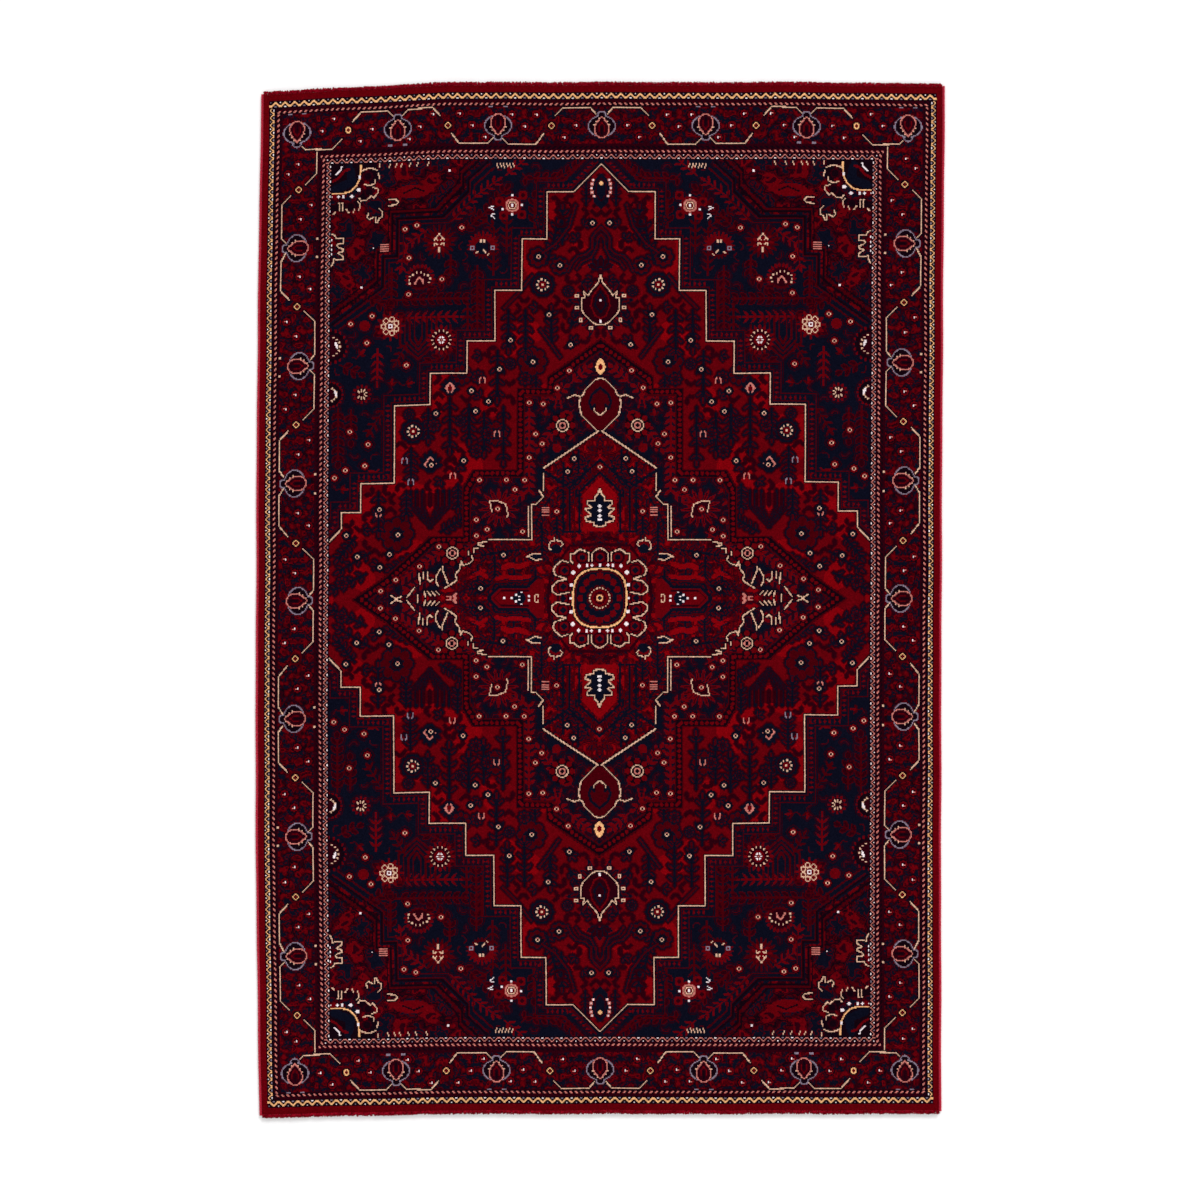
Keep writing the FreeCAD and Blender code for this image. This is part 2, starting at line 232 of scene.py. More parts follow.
# the weave's painted gap shade darkens the latex over the gaps between threads
finish(tree, shader, tone, weave["Shade"], weave["Height"], 0.0003, 0.6)
gloss = add(tree, "ShaderNodeMapRange", {"Value": brushed, "To Min": 0.42, "To Max": 0.7})
fed(shader, {"Roughness": gloss})

film_profile = [(y, 0) for y in along_stations] + [(y, FILM_TOP) for y in along_stations[::-1]]
backing_film = lofted("backing_film_coat", film_profile, across_stations, latex)
stands_for(backing_film, "backing_film")

# === HEM STITCHES ======================================================================================
# One running thread of twisted polyester holds each hem. Its stitches lie along the hem's inner side, sunk a
# little into the folded weave.

STITCH_LENGTH = 0.0062
STITCH_STEP = 0.0085


def grown(name, tree, inputs, points=((0, 0, 0),)):
    """Runs a geometry tree on some points and returns the result as a plain mesh object."""
    seed = bpy.data.meshes.new(name)
    seed.from_pydata(points, [], [])
    made = bpy.data.objects.new(name, seed)
    bpy.context.scene.collection.objects.link(made)
    growth = made.modifiers.new("growth", "NODES")
    growth.node_group = tree
    for item in tree.interface.items_tree:
        if item.item_type == "SOCKET" and item.in_out == "INPUT" and item.name in inputs:
            growth[item.identifier] = inputs[item.name]
    graph = bpy.context.evaluated_depsgraph_get()
    graph.update()
    mesh = bpy.data.meshes.new_from_object(made.evaluated_get(graph), depsgraph=graph)
    made.modifiers.remove(growth)
    made.data = mesh
    mesh.name = name
    return made


def relaid(made):
    """Lays a finished mesh with the rug."""
    points = np.zeros(len(made.data.vertices) * 3)
    made.data.vertices.foreach_get("co", points)
    made.data.vertices.foreach_set("co", laid(points).ravel())
    made.data.shade_smooth()
    made.data.update()
    return made


def new_growth(name, inputs):
    """An empty geometry tree with its inputs and its outlet."""
    tree = bpy.data.node_groups.new(name, "GeometryNodeTree")
    tree.interface.new_socket("Points", in_out="INPUT", socket_type="NodeSocketGeometry")
    for label, value in inputs.items():
        kind = "NodeSocketInt" if isinstance(value, int) else "NodeSocketFloat"
        tree.interface.new_socket(label, in_out="INPUT", socket_type=kind).default_value = value
    tree.interface.new_socket("Pieces", in_out="OUTPUT", socket_type="NodeSocketGeometry")
    return tree, tree.nodes.new("NodeGroupInput").outputs, tree.nodes.new("NodeGroupOutput")


def varied(tree, low, high, seed):
    """Random numbers in threes, one three for each point."""
    return add(tree, "FunctionNodeRandomValue", {"Min": low, "Max": high, "Seed": seed},
               data_type="FLOAT_VECTOR")


def planted(tree, points, part, turn, size):
    """One part on each point."""
    values = {"Points": points, "Instance": part, "Rotation": turn, "Scale": size}
    return add(tree, "GeometryNodeInstanceOnPoints", values)


def gathered(tree, outlet, parts, material):
    """Ends a geometry tree: the parts made real, in their material."""
    real = add(tree, "GeometryNodeRealizeInstances", {0: parts})
    fed(outlet, {0: add(tree, "GeometryNodeSetMaterial", {"Geometry": real, "Material": material})})


def yarn_material(name, roughness, specular, fibre, lots, tones, relief):
    """A material for a yarn in two tones, with hairs and slubs. Its lots are a noise on the piece."""
    material, tree, shader, place = new_material(name, roughness, specular)
    hairs = add(tree, "ShaderNodeGroup", fibre, node_tree=fibre_group).outputs
    slubs = add(tree, "ShaderNodeTexNoise", {"Vector": place, **lots})
    finish(tree, shader, toned(tree, slubs, *tones), hairs["Shade"], hairs["Height"], *relief)
    return material, tree, shader, place


thread_tones = (0.30, 0.03, 0.035), (0.42, 0.06, 0.06)
thread_fibre = {"Fineness": 2500.0, "Contrast": 0.2}
thread, *_ = yarn_material("hem_yarn", 0.8, 0.2, thread_fibre, {"Scale": 40.0}, thread_tones, (0.0002, 0.6))

stitch_tree, inlet, outlet = new_growth("running_stitch", {"Stitch length": 0.006, "Thread radius": 0.0004})
bead = add(stitch_tree, "GeometryNodeMeshUVSphere", {"Segments": 8, "Rings": 6, "Radius": 1.0})
shape = {0: maths(stitch_tree, "MULTIPLY", inlet["Stitch length"], 0.5), 1: inlet["Thread radius"]}
shape = add(stitch_tree, "ShaderNodeCombineXYZ", {**shape, 2: inlet["Thread radius"]})
turn = varied(stitch_tree, (0, 0, -0.06), (0, 0, 0.06), 4)
gathered(stitch_tree, outlet, planted(stitch_tree, inlet["Points"], bead, turn, shape), thread)

for end in ("head", "foot"):
    low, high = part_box(f"hem_thread_{end}")
    sizes = {"Stitch length": STITCH_LENGTH, "Thread radius": (high.y - low.y) / 2}
    xs = np.arange(low.x + STITCH_STEP, high.x - STITCH_STEP, STITCH_STEP)
    points = [(x, (low.y + high.y) / 2, 0.0003) for x in xs]
    stitches = relaid(grown(f"hem_stitches_{end}", stitch_tree, sizes, points))
    stands_for(stitches, f"hem_thread_{end}")

# === POINT PAPER =======================================================================================
# The loom follows a point paper: one square for each tuft, holding the yarn that is pulled up there. The
# design is the same in all four quarters, so the paper holds one, from the rug's middle outwards.

YARNS = ["navy", "ink", "wine", "claret", "crimson", "scarlet", "coral", "gold", "cream", "white", "lilac"]
NAVY, INK, WINE, CLARET, CRIMSON, SCARLET, CORAL, GOLD, CREAM, WHITE, LILAC = range(len(YARNS))
COLUMNS, ROWS = 317, 477  # tufts in a quarter, across and along

across, along = np.meshgrid(np.arange(COLUMNS) + 0.5, np.arange(ROWS) + 0.5)
paper = np.full((ROWS, COLUMNS), CRIMSON, np.uint8)


def patch(points, reach):
    """The squares of the paper round some points, and the points as an array."""
    points = np.array(points, float)
    low = np.maximum(points.min(0) - reach, 0).astype(int)
    high = np.maximum(points.max(0) + reach + 1, 0).astype(int)
    return points, (slice(low[1], high[1]), slice(low[0], high[0]))


def stroke(points, yarn, width, closed=False):
    """A line of one yarn through the points."""
    if closed:
        points = list(points) + [points[0]]
    points, squares = patch(points, width)
    x, y = across[squares], along[squares]
    drawn = np.zeros(x.shape, bool)
    for (ax, ay), (bx, by) in zip(points[:-1], points[1:]):
        dx, dy = bx - ax, by - ay
        part = np.clip(((x - ax) * dx + (y - ay) * dy) / max(dx * dx + dy * dy, 1e-9), 0, 1)
        drawn |= np.hypot(x - ax - part * dx, y - ay - part * dy) < width / 2
    paper[squares][drawn] = yarn


def edged(points, yarn=CREAM, edge=3.4, width=1.2):
    """A line one tuft wide, edged in near black, along the middles of the squares that it passes."""
    points = [(math.floor(x) + 0.5, math.floor(y) + 0.5) for x, y in points]
    stroke(points, INK, edge)
    stroke(points, yarn, width)


def inside(points):
    """True for each square of the paper within an outline."""
    found = np.zeros(paper.shape, bool)
    points, squares = patch(points, 1)
    x, y = across[squares], along[squares]
    for (ax, ay), (bx, by) in zip(points, np.roll(points, -1, 0)):
        if ay != by:
            found[squares] ^= ((ay > y) != (by > y)) & (x < ax + (y - ay) * (bx - ax) / (by - ay))
    return found


def fill(points, yarn):
    """A solid area of one yarn."""
    paper[inside(points)] = yarn


def rounded(points, closed=True, times=2):
    """The points with their corners cut, which makes a curve of them."""
    points = np.array(points, float)
    for _ in range(times):
        after = np.roll(points, -1, 0)
        cut = np.stack([points * 0.75 + after * 0.25, points * 0.25 + after * 0.75], 1).reshape(-1, 2)
        points = cut if closed else np.vstack([points[:1], cut[1:-3], points[-1:]])
    return points


def placed(points, at, turn=0.0, size=1.0, flip=False):
    """A motif's points, turned anticlockwise by some degrees and set down at a square."""
    x, y = np.array(points, float).T * size
    x = -x if flip else x
    c, s = math.cos(math.radians(turn)), math.sin(math.radians(turn))
    return np.stack([at[0] + x * c - y * s, at[1] + x * s + y * c], 1)


def circle(at, radius, corners=16, start=0.0, end=360.0):
    """Points round a circle or along part of one."""
    angles = np.radians(np.linspace(start, end, corners, endpoint=end - start < 360))
    return np.stack([at[0] + radius * np.cos(angles), at[1] + radius * np.sin(angles)], 1)


def disc(at, radius, yarn):
    """A round spot."""
    stroke([at, at], yarn, 2 * radius)


def beads(places, radius, yarn):
    """Round spots of one size."""
    for at in places:
        disc(at, radius, yarn)


def drops(yarn, *spots):
    """Round spots of one yarn, each with its own size: x, y, radius."""
    for x, y, radius in spots:
        disc((x, y), radius, yarn)


def hoop(at, radius, corners, yarn, width):
    """A thin round line."""
    stroke(circle(at, radius, corners), yarn, width, closed=True)


def spokes(at, inner, outer, count, yarn, width):
    """Short lines that point away from a place."""
    for foot, tip in zip(circle(at, inner, count), circle(at, outer, count)):
        stroke([foot, tip], yarn, width)


def strokes(yarn, width, *lines):
    """Lines of one yarn."""
    for line in lines:
        stroke(line, yarn, width)


def mirrored(points):
    """An outline that is the same on both sides of its own Y axis, from its right half."""
    return list(points) + [(-x, y) for x, y in reversed(points)]


def sway(seed, wavelength):
    """Smooth waves over the paper, about the same length every way, from -1 to 1."""
    rng = np.random.default_rng(seed)
    total = np.zeros(paper.shape)
    for angle in rng.uniform(0, math.pi, 14):
        pitch = 2 * math.pi / (wavelength * rng.uniform(0.8, 1.25))
        total += np.cos(pitch * (across * math.cos(angle) + along * math.sin(angle)) + rng.uniform(0, 7))
    return total / 5.3


def terraces(area, wave, steps):
    """Lays yarns over an area by the height of a wave, which gives curling lines one or two tufts wide."""
    for height, yarn in steps:
        paper[area & (wave > height)] = yarn


def leaf(at, turn, length, width, yarn, heart=None):
    """A drop-shaped leaf that grows from its foot, solid or with a darker heart."""
    shape = [(0, 0), (length * 0.3, width * 0.5), (length * 0.66, width * 0.46), (length, 0)]
    shape += [(x, -y) for x, y in shape[2:0:-1]]
    fill(rounded(placed(shape, at, turn), times=1), yarn)
    if heart is not None:
        stroke(placed([(length * 0.3, 0), (length * 0.66, 0)], at, turn), heart, max(width - 2.9, 1.0))


def sprig(points, yarn, length=7.0, gap=5.5, width=2.6, stem=1.4, spread=42, heart=None):
    """A stem with pairs of leaves that point along it, and one at its tip."""
    points = np.array(points, float)
    stroke(points, yarn, stem)
    left = gap * 0.6
    for a, b in zip(points[:-1], points[1:]):
        run = math.hypot(*(b - a))
        heading = math.degrees(math.atan2(b[1] - a[1], b[0] - a[0]))
        while left < run:
            at = a + (b - a) * left / run
            for side in (-spread, spread):
                leaf(at, heading + side, length, width, yarn, heart)
            left += gap
        left -= run
    leaf(points[-1], heading, length * 0.9, width * 1.2, yarn, heart)


def eye(at, ring=CREAM, halo=CRIMSON):
    """A small open ring in a round halo, edged with ink."""
    x, y = round(at[0]), round(at[1])
    disc((x, y), 4.7, INK)
    disc((x, y), 3.7, halo)
    disc((x, y), 2.0, INK)
    for side in (-1.5, 1.5):
        stroke([(x + side, y - 0.5), (x + side, y + 0.5)], ring, 0.9)
        stroke([(x - 0.5, y + side), (x + 0.5, y + side)], ring if halo == NAVY and side > 0 else CORAL, 0.9)


def near(mask, steps):
    """The mask grown by some squares every way."""
    for _ in range(steps):
        wide = mask.copy()
        wide[1:] |= mask[:-1]
        wide[:-1] |= mask[1:]
        wide[:, 1:] |= mask[:, :-1]
        wide[:, :-1] |= mask[:, 1:]
        mask = wide
    return mask


def outlined(area, ground, yarn, gap=0, width=1):
    """Draws a line round everything on a ground, at a gap from it."""
    shapes = area & (paper != ground)
    paper[area & (paper == ground) & near(shapes, gap + width) & ~near(shapes, gap)] = yarn


def strewn(area, ground, seed, clear, motif):
    """Draws a motif wherever the ground is still bare, on a loose grid. Its turn is one of eight."""
    rng = np.random.default_rng(seed)
    bare = area & (paper == ground)
    for y in np.arange(clear, ROWS - 1, clear * 0.8):
        for x in np.arange(clear * rng.uniform(0.3, 1.3), COLUMNS - 1, clear * 0.8):
            at = (x + rng.uniform(-1, 1), y + rng.uniform(-1, 1))
            turn = 45 * rng.integers(8) + rng.uniform(-12, 12)
            columns = slice(max(int(at[0] - clear), 0), int(at[0] + clear) + 1)
            rows = slice(max(int(at[1] - clear), 0), int(at[1] + clear) + 1)
            around = bare[rows, columns]
            if around.size and around.mean() > 0.97:
                motif(at, turn)
                bare = area & (paper == ground)
# The bands' inner edges, in tufts from the middle, across and along.
BAND_EDGES = {
    "plain_band": (313, 472),
    "outer_guard": (307, 464),
    "outer_dashes": (300, 458),
    "main_border": (264, 421),
    "inner_dashes": (258, 414),
    "inner_guard": (252, 408),
}


def beyond(edge):
    """True for each square outside a band's inner edge."""
    return (across > edge[0]) | (along > edge[1])


def band_area(name):
    """The squares of one band."""
    order = list(BAND_EDGES)
    area = beyond(BAND_EDGES[name])
    if name != order[0]:
        area &= ~beyond(BAND_EDGES[order[order.index(name) - 1]])
    return area


def zigzag(area, run, depth, period, low, high, yarn, width):
    """A wave of one yarn that swings between two depths of a band as it runs along it."""
    swing = np.clip(np.abs((run / period) % 1 * 2 - 1) * 1.5 - 0.25, 0, 1)
    paper[area & (np.abs(depth - low - (high - low) * swing) < width / 2)] = yarn


def specks(area, run, depth, period, at_run, at_depth, yarn, long=1.6, deep=1.0):
    """Small spots at one depth of a band, once in each period."""
    near_run = np.abs((run - at_run + period / 2) % period - period / 2) < long / 2
    paper[area & near_run & (np.abs(depth - at_depth) < deep / 2 + 0.01)] = yarn


# outer guard: a gold wave on near black, with pale specks in its bays
area = band_area("outer_guard")
on_end = area & (along > BAND_EDGES["outer_guard"][1])
on_side = area & ~on_end
paper[area] = INK
for yarn, step in ((LILAC, 9), (WHITE, 27)):
    specks(on_end, across, along, step, 4.5, 469.5, yarn, 2, 1)
    specks(on_end, across, along, step, 0, 465.5, yarn, 2, 1)
for yarn, step in ((LILAC, 7), (WHITE, 21)):
    specks(on_side, along, across, step, 3.5, 310.5, yarn, 2, 1)
    specks(on_side, along, across, step, 0, 307.5, yarn, 2, 1)
zigzag(on_end, across, along, 9, 465.7, 469.2, GOLD, 2.0)
zigzag(on_side, along, across, 7, 307.7, 310.5, GOLD, 1.5)
paper[area & ((across > 311.5) | (along > 470.5))] = CRIMSON


def dashes(area, run, depth, first):
    """Slanting drops of coral, one to every five tufts, each with a claret tail."""
    beat = np.floor(run % 5)
    level = np.floor(depth - first)
    tip = area & (level >= 0) & (level < 2)
    paper[tip & ((beat == 3 - level) | (beat == 2 - level))] = CORAL
    paper[area & (level == 2) & (beat < 2)] = CLARET


# the two stripes of dashes
for band, end_at, side_at in (("outer_dashes", 459, 302), ("inner_dashes", 415, 259)):
    area = band_area(band)
    on_end = area & (along > BAND_EDGES[band][1]) & (across < BAND_EDGES[band][0] + 5)
    on_side = area & ~on_end
    paper[area] = INK
    paper[area & ((np.floor(across) + np.floor(along)) % 5 < 2)] = WINE
    dashes(on_end, across, along, end_at)
    dashes(on_side, along, across, side_at)
paper[band_area("outer_dashes") & (along < 464) & (along > 461.5) & (across < 300)] = WINE
paper[band_area("outer_dashes") & (across > 305)] = INK

# inner guard: a fine coral wave on wine, with white beads
area = band_area("inner_guard")
on_end = area & (along > BAND_EDGES["inner_guard"][1])
on_side = area & ~on_end
paper[area] = INK
paper[area & ((across > 257) | (along > 413))] = WINE
for yarn, step in ((LILAC, 9), (WHITE, 18)):
    specks(on_end, across, along, step, 4.5, 412.5, yarn, 2, 1)
    specks(on_end, across, along, step, 0, 409.5, yarn, 2, 1)
for yarn, step in ((LILAC, 7), (WHITE, 14)):
    specks(on_side, along, across, step, 3.5, 256.5, yarn, 2, 1)
    specks(on_side, along, across, step, 0, 253.5, yarn, 2, 1)
zigzag(on_end, across, along, 9, 409.6, 412.4, CORAL, 1.15)
zigzag(on_side, along, across, 7, 253.6, 256.4, CORAL, 1.1)
# main border: pomegranates on an angular gold vine, over curling leafy stems
area = band_area("main_border")
wave = sway(3, 11.0) + 0.45 * sway(4, 5.5)
terraces(area, wave, ((-9, NAVY), (-0.62, CLARET), (-0.42, NAVY), (-0.20, WINE), (0.0, INK), (0.14, CLARET),
                      (0.42, CRIMSON), (0.80, WINE), (0.98, CLARET)))
paper[area & (across > 298.5)] = WINE
paper[area & (along > 456.6) & (across < 299)] = WINE
paper[area & (across < 266) & (along < 423)] = WINE

POD_OUTER = [(0, -14), (3.2, -13), (4, -11), (2.5, -9.7), (7.5, -8.2), (11.5, -4.5), (12.8, -0.5), (11.5, 4),
             (8.5, 7.2), (6, 8.6)]
POD_INNER = [(0, -9), (3.2, -5.5), (5.6, -2), (7.2, 3), (6, 7), (3.2, 9.8), (0, 10.6)]


def pomegranate(at, turn):
    """A lilac pod that holds a coral drop, with its neck below."""
    fill(placed(mirrored(rounded(POD_OUTER, False, 1)), at, turn, 1.12), CLARET)
    fill(placed(mirrored(rounded(POD_OUTER, False, 1)), at, turn), INK)
    for flip in (False, True):
        stroke(placed(rounded(POD_OUTER, False, 1), at, turn, flip=flip), LILAC, 1.1)
        for u, v in ((2.8, -7), (5.0, -4.2), (7.0, -1.4)):
            disc(placed([(u, v)], at, turn, flip=flip)[0], 0.8, CREAM)
    fill(placed(mirrored(POD_INNER), at, turn), WINE)
    for flip in (False, True):
        stroke(placed(rounded(POD_INNER, False, 1), at, turn, flip=flip), CORAL, 1.1)
        stroke(placed([(2.6, 5), (3.0, 1), (0, -4)], at, turn, flip=flip), CRIMSON, 1.0)
    stroke(placed([(0, 1), (0, 7)], at, turn), INK, 1.6)


VINES = [
    [(282, 428), (277, 423.5), (252, 422.5), (243, 431.5)],
    [(233.5, 447.5), (225, 456.3), (200, 456.3), (194, 450)],
    [(187, 450), (181, 456.5), (158, 457), (151, 449)],
    [(140, 432), (133, 423), (106, 423), (101, 428)],
    [(93, 428), (87, 422.6), (61, 422.6), (54, 432)],
    [(43, 449), (36, 456.5), (10, 456), (5, 450)],
    [(266.5, 420), (266.5, 400), (276.5, 390)],
    [(290, 380.5), (298, 372), (298.5, 340), (294, 336)],
    [(294, 326), (298.5, 318), (298.5, 291), (290, 282)],
    [(276, 271), (266.5, 261), (266.5, 230), (270.5, 225)],
    [(270.5, 215), (266.5, 211), (266.5, 179), (276, 169)],
    [(290, 159), (298, 150), (298.5, 122), (294, 116)],
    [(294, 105), (298.5, 98), (298.5, 70), (290, 60)],
    [(276, 48), (266.5, 38), (266.5, 9), (270.5, 4)],
]
SPARKS = [
    (262, 440), (251, 451.5), (215, 440), (226.5, 429), (170, 440), (180, 429), (158, 451), (121.5, 440.5),
    (133, 451), (109, 429), (72, 439), (61.5, 450.5), (84, 450), (24, 440), (35, 429), (284, 410),
    (293.5, 401), (271, 371.5), (281, 358), (281, 304), (271, 292), (293, 262), (284, 248), (284, 193),
    (293, 180), (271, 150), (281, 137), (281, 82), (271, 70), (293, 39), (284, 26),
]
for at in SPARKS:
    disc(at, 4.8, INK)
    disc(at, 3.8, CRIMSON)
    disc(at, 2.2, WINE)
    x, y = math.floor(at[0]) + 0.5, math.floor(at[1]) + 0.5
    stroke([(x - 1, y), (x + 1, y)], CORAL, 1.05)
    stroke([(x - 1, y - 1), (x - 1, y)], WHITE, 1.05)
for at in [(237.5, 440), (144, 440), (47, 440), (283, 386), (283, 276), (283, 165), (283, 54)]:
    disc(at, 6.0, CLARET)
    disc(at, 4.4, INK)
    hoop(at, 2.5, 8, GOLD, 1.1)
    disc(at, 1.2, CRIMSON)
for points in VINES:
    edged(points, CREAM, 3.2)
for x, turn in ((285.5, 0), (191, 180), (97, 0), (0, 180)):
    pomegranate((x, 440 if turn == 0 else 439), turn)
for x, y, turn in ((284, 331, 90), (281, 220, 270), (284, 110, 90), (281, 0, 270)):
    pomegranate((x, y), turn)
for x, y in ((292, 457.3), (279, 457.3), (104, 457.5), (90, 457.3), (198, 424), (184, 424)):
    stroke([(x - 1.2, y), (x + 1.2, y)], LILAC, 1.4)
for x, y in ((265, 339), (265, 322), (265, 118), (265, 100), (299, 228), (299, 211)):
    stroke([(x, y - 0.8), (x, y + 0.8)], CREAM, 1.6)
# the parts of the field, each inside its own stepped outline
MEDALLION_EDGE = [
    (0, 403), (25, 378), (50, 378), (50, 334), (73, 334), (73, 286), (98, 286), (98, 239), (124, 239),
    (124, 209), (158, 209), (158, 180), (191, 180), (191, 108), (222, 108), (222, 81), (240, 81), (240, 66),
    (306, 0),
]
CARTOUCHE_EDGE = [
    (0, 242), (50, 207), (50, 196), (78, 196), (78, 120), (119, 120), (128, 104), (128, 58), (159, 58),
    (200, 22), (232, 0),
]
CROSS_EDGE = [
    (0, 155), (52, 121), (52, 90), (63, 90), (63, 54), (103, 54), (118, 44), (130, 32), (134, 18), (145, 9),
    (190, 0),
]
ROSETTE_EDGE = [(0, 45), (29, 45), (43, 31), (43, 0)]
SPANDREL_EDGE = [
    (252, 260), (205, 294), (205, 322), (192, 322), (192, 357), (150, 357), (126, 381), (126, 392),
    (108, 408),
]

field = ~beyond(BAND_EDGES["inner_guard"])
spandrel_area = field & inside(SPANDREL_EDGE + [(252, 408)])
medallion_area = field & inside([(0, 0)] + MEDALLION_EDGE)
cartouche_area = inside([(0, 0)] + CARTOUCHE_EDGE)
cross_area = inside([(0, 0)] + CROSS_EDGE)
rosette_area = inside([(0, 0)] + ROSETTE_EDGE)
field_area = field & ~spandrel_area & ~medallion_area
medallion_area &= ~cartouche_area
cartouche_area &= ~cross_area
cross_area &= ~rosette_area


def hedge(edge, area):
    """A comb of crimson teeth between two thin lines, along the outside of a stepped outline."""
    before = paper.copy()
    inner = [(x + 3.2, y + 3.2) for x, y in edge]
    outer = [(x + 10.5, y + 10.5) for x, y in edge]
    for a, b in zip(inner[:-1], inner[1:]):
        disc(((a[0] + b[0]) / 2 + 3.6, (a[1] + b[1]) / 2 + 3.6), 0.5, WINE)
    stroke([(x + 7, y + 7) for x, y in edge], NAVY, 6.5)
    for a, b in zip(inner[:-1], inner[1:]):
        run = math.hypot(b[0] - a[0], b[1] - a[1])
        out = (0, 1) if abs(b[0] - a[0]) > abs(b[1] - a[1]) else (1, 0)
        for part in np.arange(2.5, run, 4.6):
            foot = (a[0] + (b[0] - a[0]) * part / run, a[1] + (b[1] - a[1]) * part / run)
            head = (foot[0] + out[0] * 5.0, foot[1] + out[1] * 5.0)
            stroke([foot, head], CLARET, 1.2)
            disc((foot[0] + out[0] * 3.4, foot[1] + out[1] * 3.4), 1.2, CRIMSON)
    stroke(inner, CLARET, 1.3)
    stroke(outer, CLARET, 1.5)
    paper[~area] = before[~area]


# field: navy with crimson branches
bands = paper.copy()
paper[field_area] = NAVY
stems = [
    [(190, 279), (122, 279)], [(185, 262), (132, 262)], [(115, 310), (115, 250)], [(124, 275), (124, 250)],
    [(195, 310), (195, 280)], [(90, 393), (72, 408)], [(74, 396), (70, 391), (40, 391), (18, 406)],
    [(100, 300), (100, 345), (120, 360)], [(130, 340), (105, 362), (90, 380)],
    [(140, 350), (118, 374), (98, 388)], [(62, 345), (62, 372)], [(88, 322), (88, 348)],
    [(178, 268), (205, 250)], [(208, 235), (208, 205)], [(232, 178), (232, 150)], [(200, 180), (214, 158)],
    [(244, 180), (244, 130)], [(205, 122), (228, 104)], [(140, 255), (140, 228), (160, 220)],
    [(110, 262), (110, 290)], [(224, 290), (200, 272)], [(160, 345), (182, 330), (186, 310)],
    [(140, 320), (140, 300), (156, 288)], [(180, 240), (190, 222)], [(244, 220), (226, 212)],
]
for number, points in enumerate(stems):
    if number % 2:
        sprig(points, CRIMSON if number % 4 == 1 else CLARET, 8.5, 7.0, 2.5, 1.2, 46)
    else:
        sprig(points, CLARET, 9.5, 8.0, 5.2, 1.3, 40, WINE)
for r in (17, 12.5, 8, 3.5):
    stroke([(170 - r, 262), (170 - r, 245 - r * 0.4), (170, 240 - r), (170 + r, 245 - r * 0.4),
            (170 + r, 262)], CLARET, 2.0)
hedge(MEDALLION_EDGE, field_area)
before = paper.copy()
for shift, yarn in ((2.0, INK), (3.6, CLARET), (7.6, CLARET)):
    stroke([(x - shift, y - shift) for x, y in SPANDREL_EDGE], yarn, 1.6)
paper[~field_area] = before[~field_area]


def petals(at, radius, reach, count, yarn=CRIMSON, start=0.0, end=360.0):
    """Narrow petals in a ring or a fan, over a wine disc."""
    disc(at, radius + 0.5, WINE)
    for foot, tip in zip(circle(at, radius, count, start, end),
                         circle(at, radius + reach, count, start, end)):
        leaf(foot, math.degrees(math.atan2(tip[1] - foot[1], tip[0] - foot[0])), reach, 3.0, yarn)


def sunflower(at):
    """A ring of cream dashes round a small pale star, in a crimson halo."""
    petals(at, 9.0, 5.5, 16)
    spokes(at, 7.7, 9.3, 14, CREAM, 1.0)
    disc(at, 5.6, CRIMSON)
    beads(circle(at, 2.6, 6), 0.85, WHITE)
    disc(at, 1.0, CORAL)


# field: flowers
sunflower((148.5, 240.5))
petals((196, 255), 9.0, 5.5, 12)
disc((196, 255), 10.5, CRIMSON)
for spot in circle((196, 255), 6.4, 7):
    hoop(spot, 2.3, 8, CREAM, 1.0)
hoop((196, 255), 1.8, 6, WHITE, 1.1)
disc((83, 365.5), 9, CRIMSON)
hoop((83, 365.5), 5.6, 12, CORAL, 1.5)
hoop((83, 365.5), 3.6, 8, CREAM, 1.0)
disc((83, 365.5), 1.3, WHITE)
beads(((83, 375), (74, 366), (92, 362), (83, 357)), 1.1, WHITE)
for at in ((95, 369), (91, 356), (73, 375), (74, 357)):
    disc(at, 4.4, CRIMSON)
    disc(at, 2.0, WINE)
petals((110, 327), 5.0, 11.0, 13, CRIMSON, -10, 190)
petals((110, 327), 4.0, 8.0, 9, CLARET, 200, 340)
disc((110, 327), 7.0, NAVY)
for at, to in (((112, 334), (112, 331)), ((109, 334), (109, 331)), ((117, 321), (114, 323)),
               ((110, 325), (107.5, 322)), ((104, 321), (106, 319))):
    stroke([at, to], CREAM, 1.2)
for at in ((120, 326), (101, 326)):
    hoop(at, 1.8, 6, LILAC, 1.0)
petals((151, 331), 5.0, 14.0, 9, CLARET, 15, 165)
petals((151, 331), 5.0, 11.0, 11, CLARET, 170, 370)
petals((151, 331), 3.0, 7.5, 9, CRIMSON, 0, 360)
disc((151, 331), 5.0, CRIMSON)
for flip in (False, True):
    for line in ([(0.5, 8), (2.5, 5)], [(1, 2), (3.5, 4.5), (5, 2)], [(1, -2), (4, 0), (4.5, -2)],
                 [(0.5, -5), (0.5, -8)]):
        stroke(placed(line, (151, 331), flip=flip), CREAM, 1.1)
petals((168.5, 298), 9.5, 5.0, 14, CRIMSON, -20, 200)
petals((168.5, 298), 5.0, 7.0, 7, CLARET, 215, 325)
disc((168.5, 298), 8.5, WINE)
for at in ((178, 294), (178.5, 297), (178, 300.5), (175, 302), (171.5, 304), (167.5, 304), (164.5, 302),
           (161, 301), (159, 298), (160, 294.5)):
    disc(at, 0.9, CREAM)
stroke([(173, 294), (171, 297.5), (169, 299), (166, 297), (165.5, 294)], CORAL, 1.6)
petals((222, 192), 5.5, 4.5, 12)
spokes((222, 192), 2.6, 5.2, 9, CREAM, 0.95)
before = paper.copy()
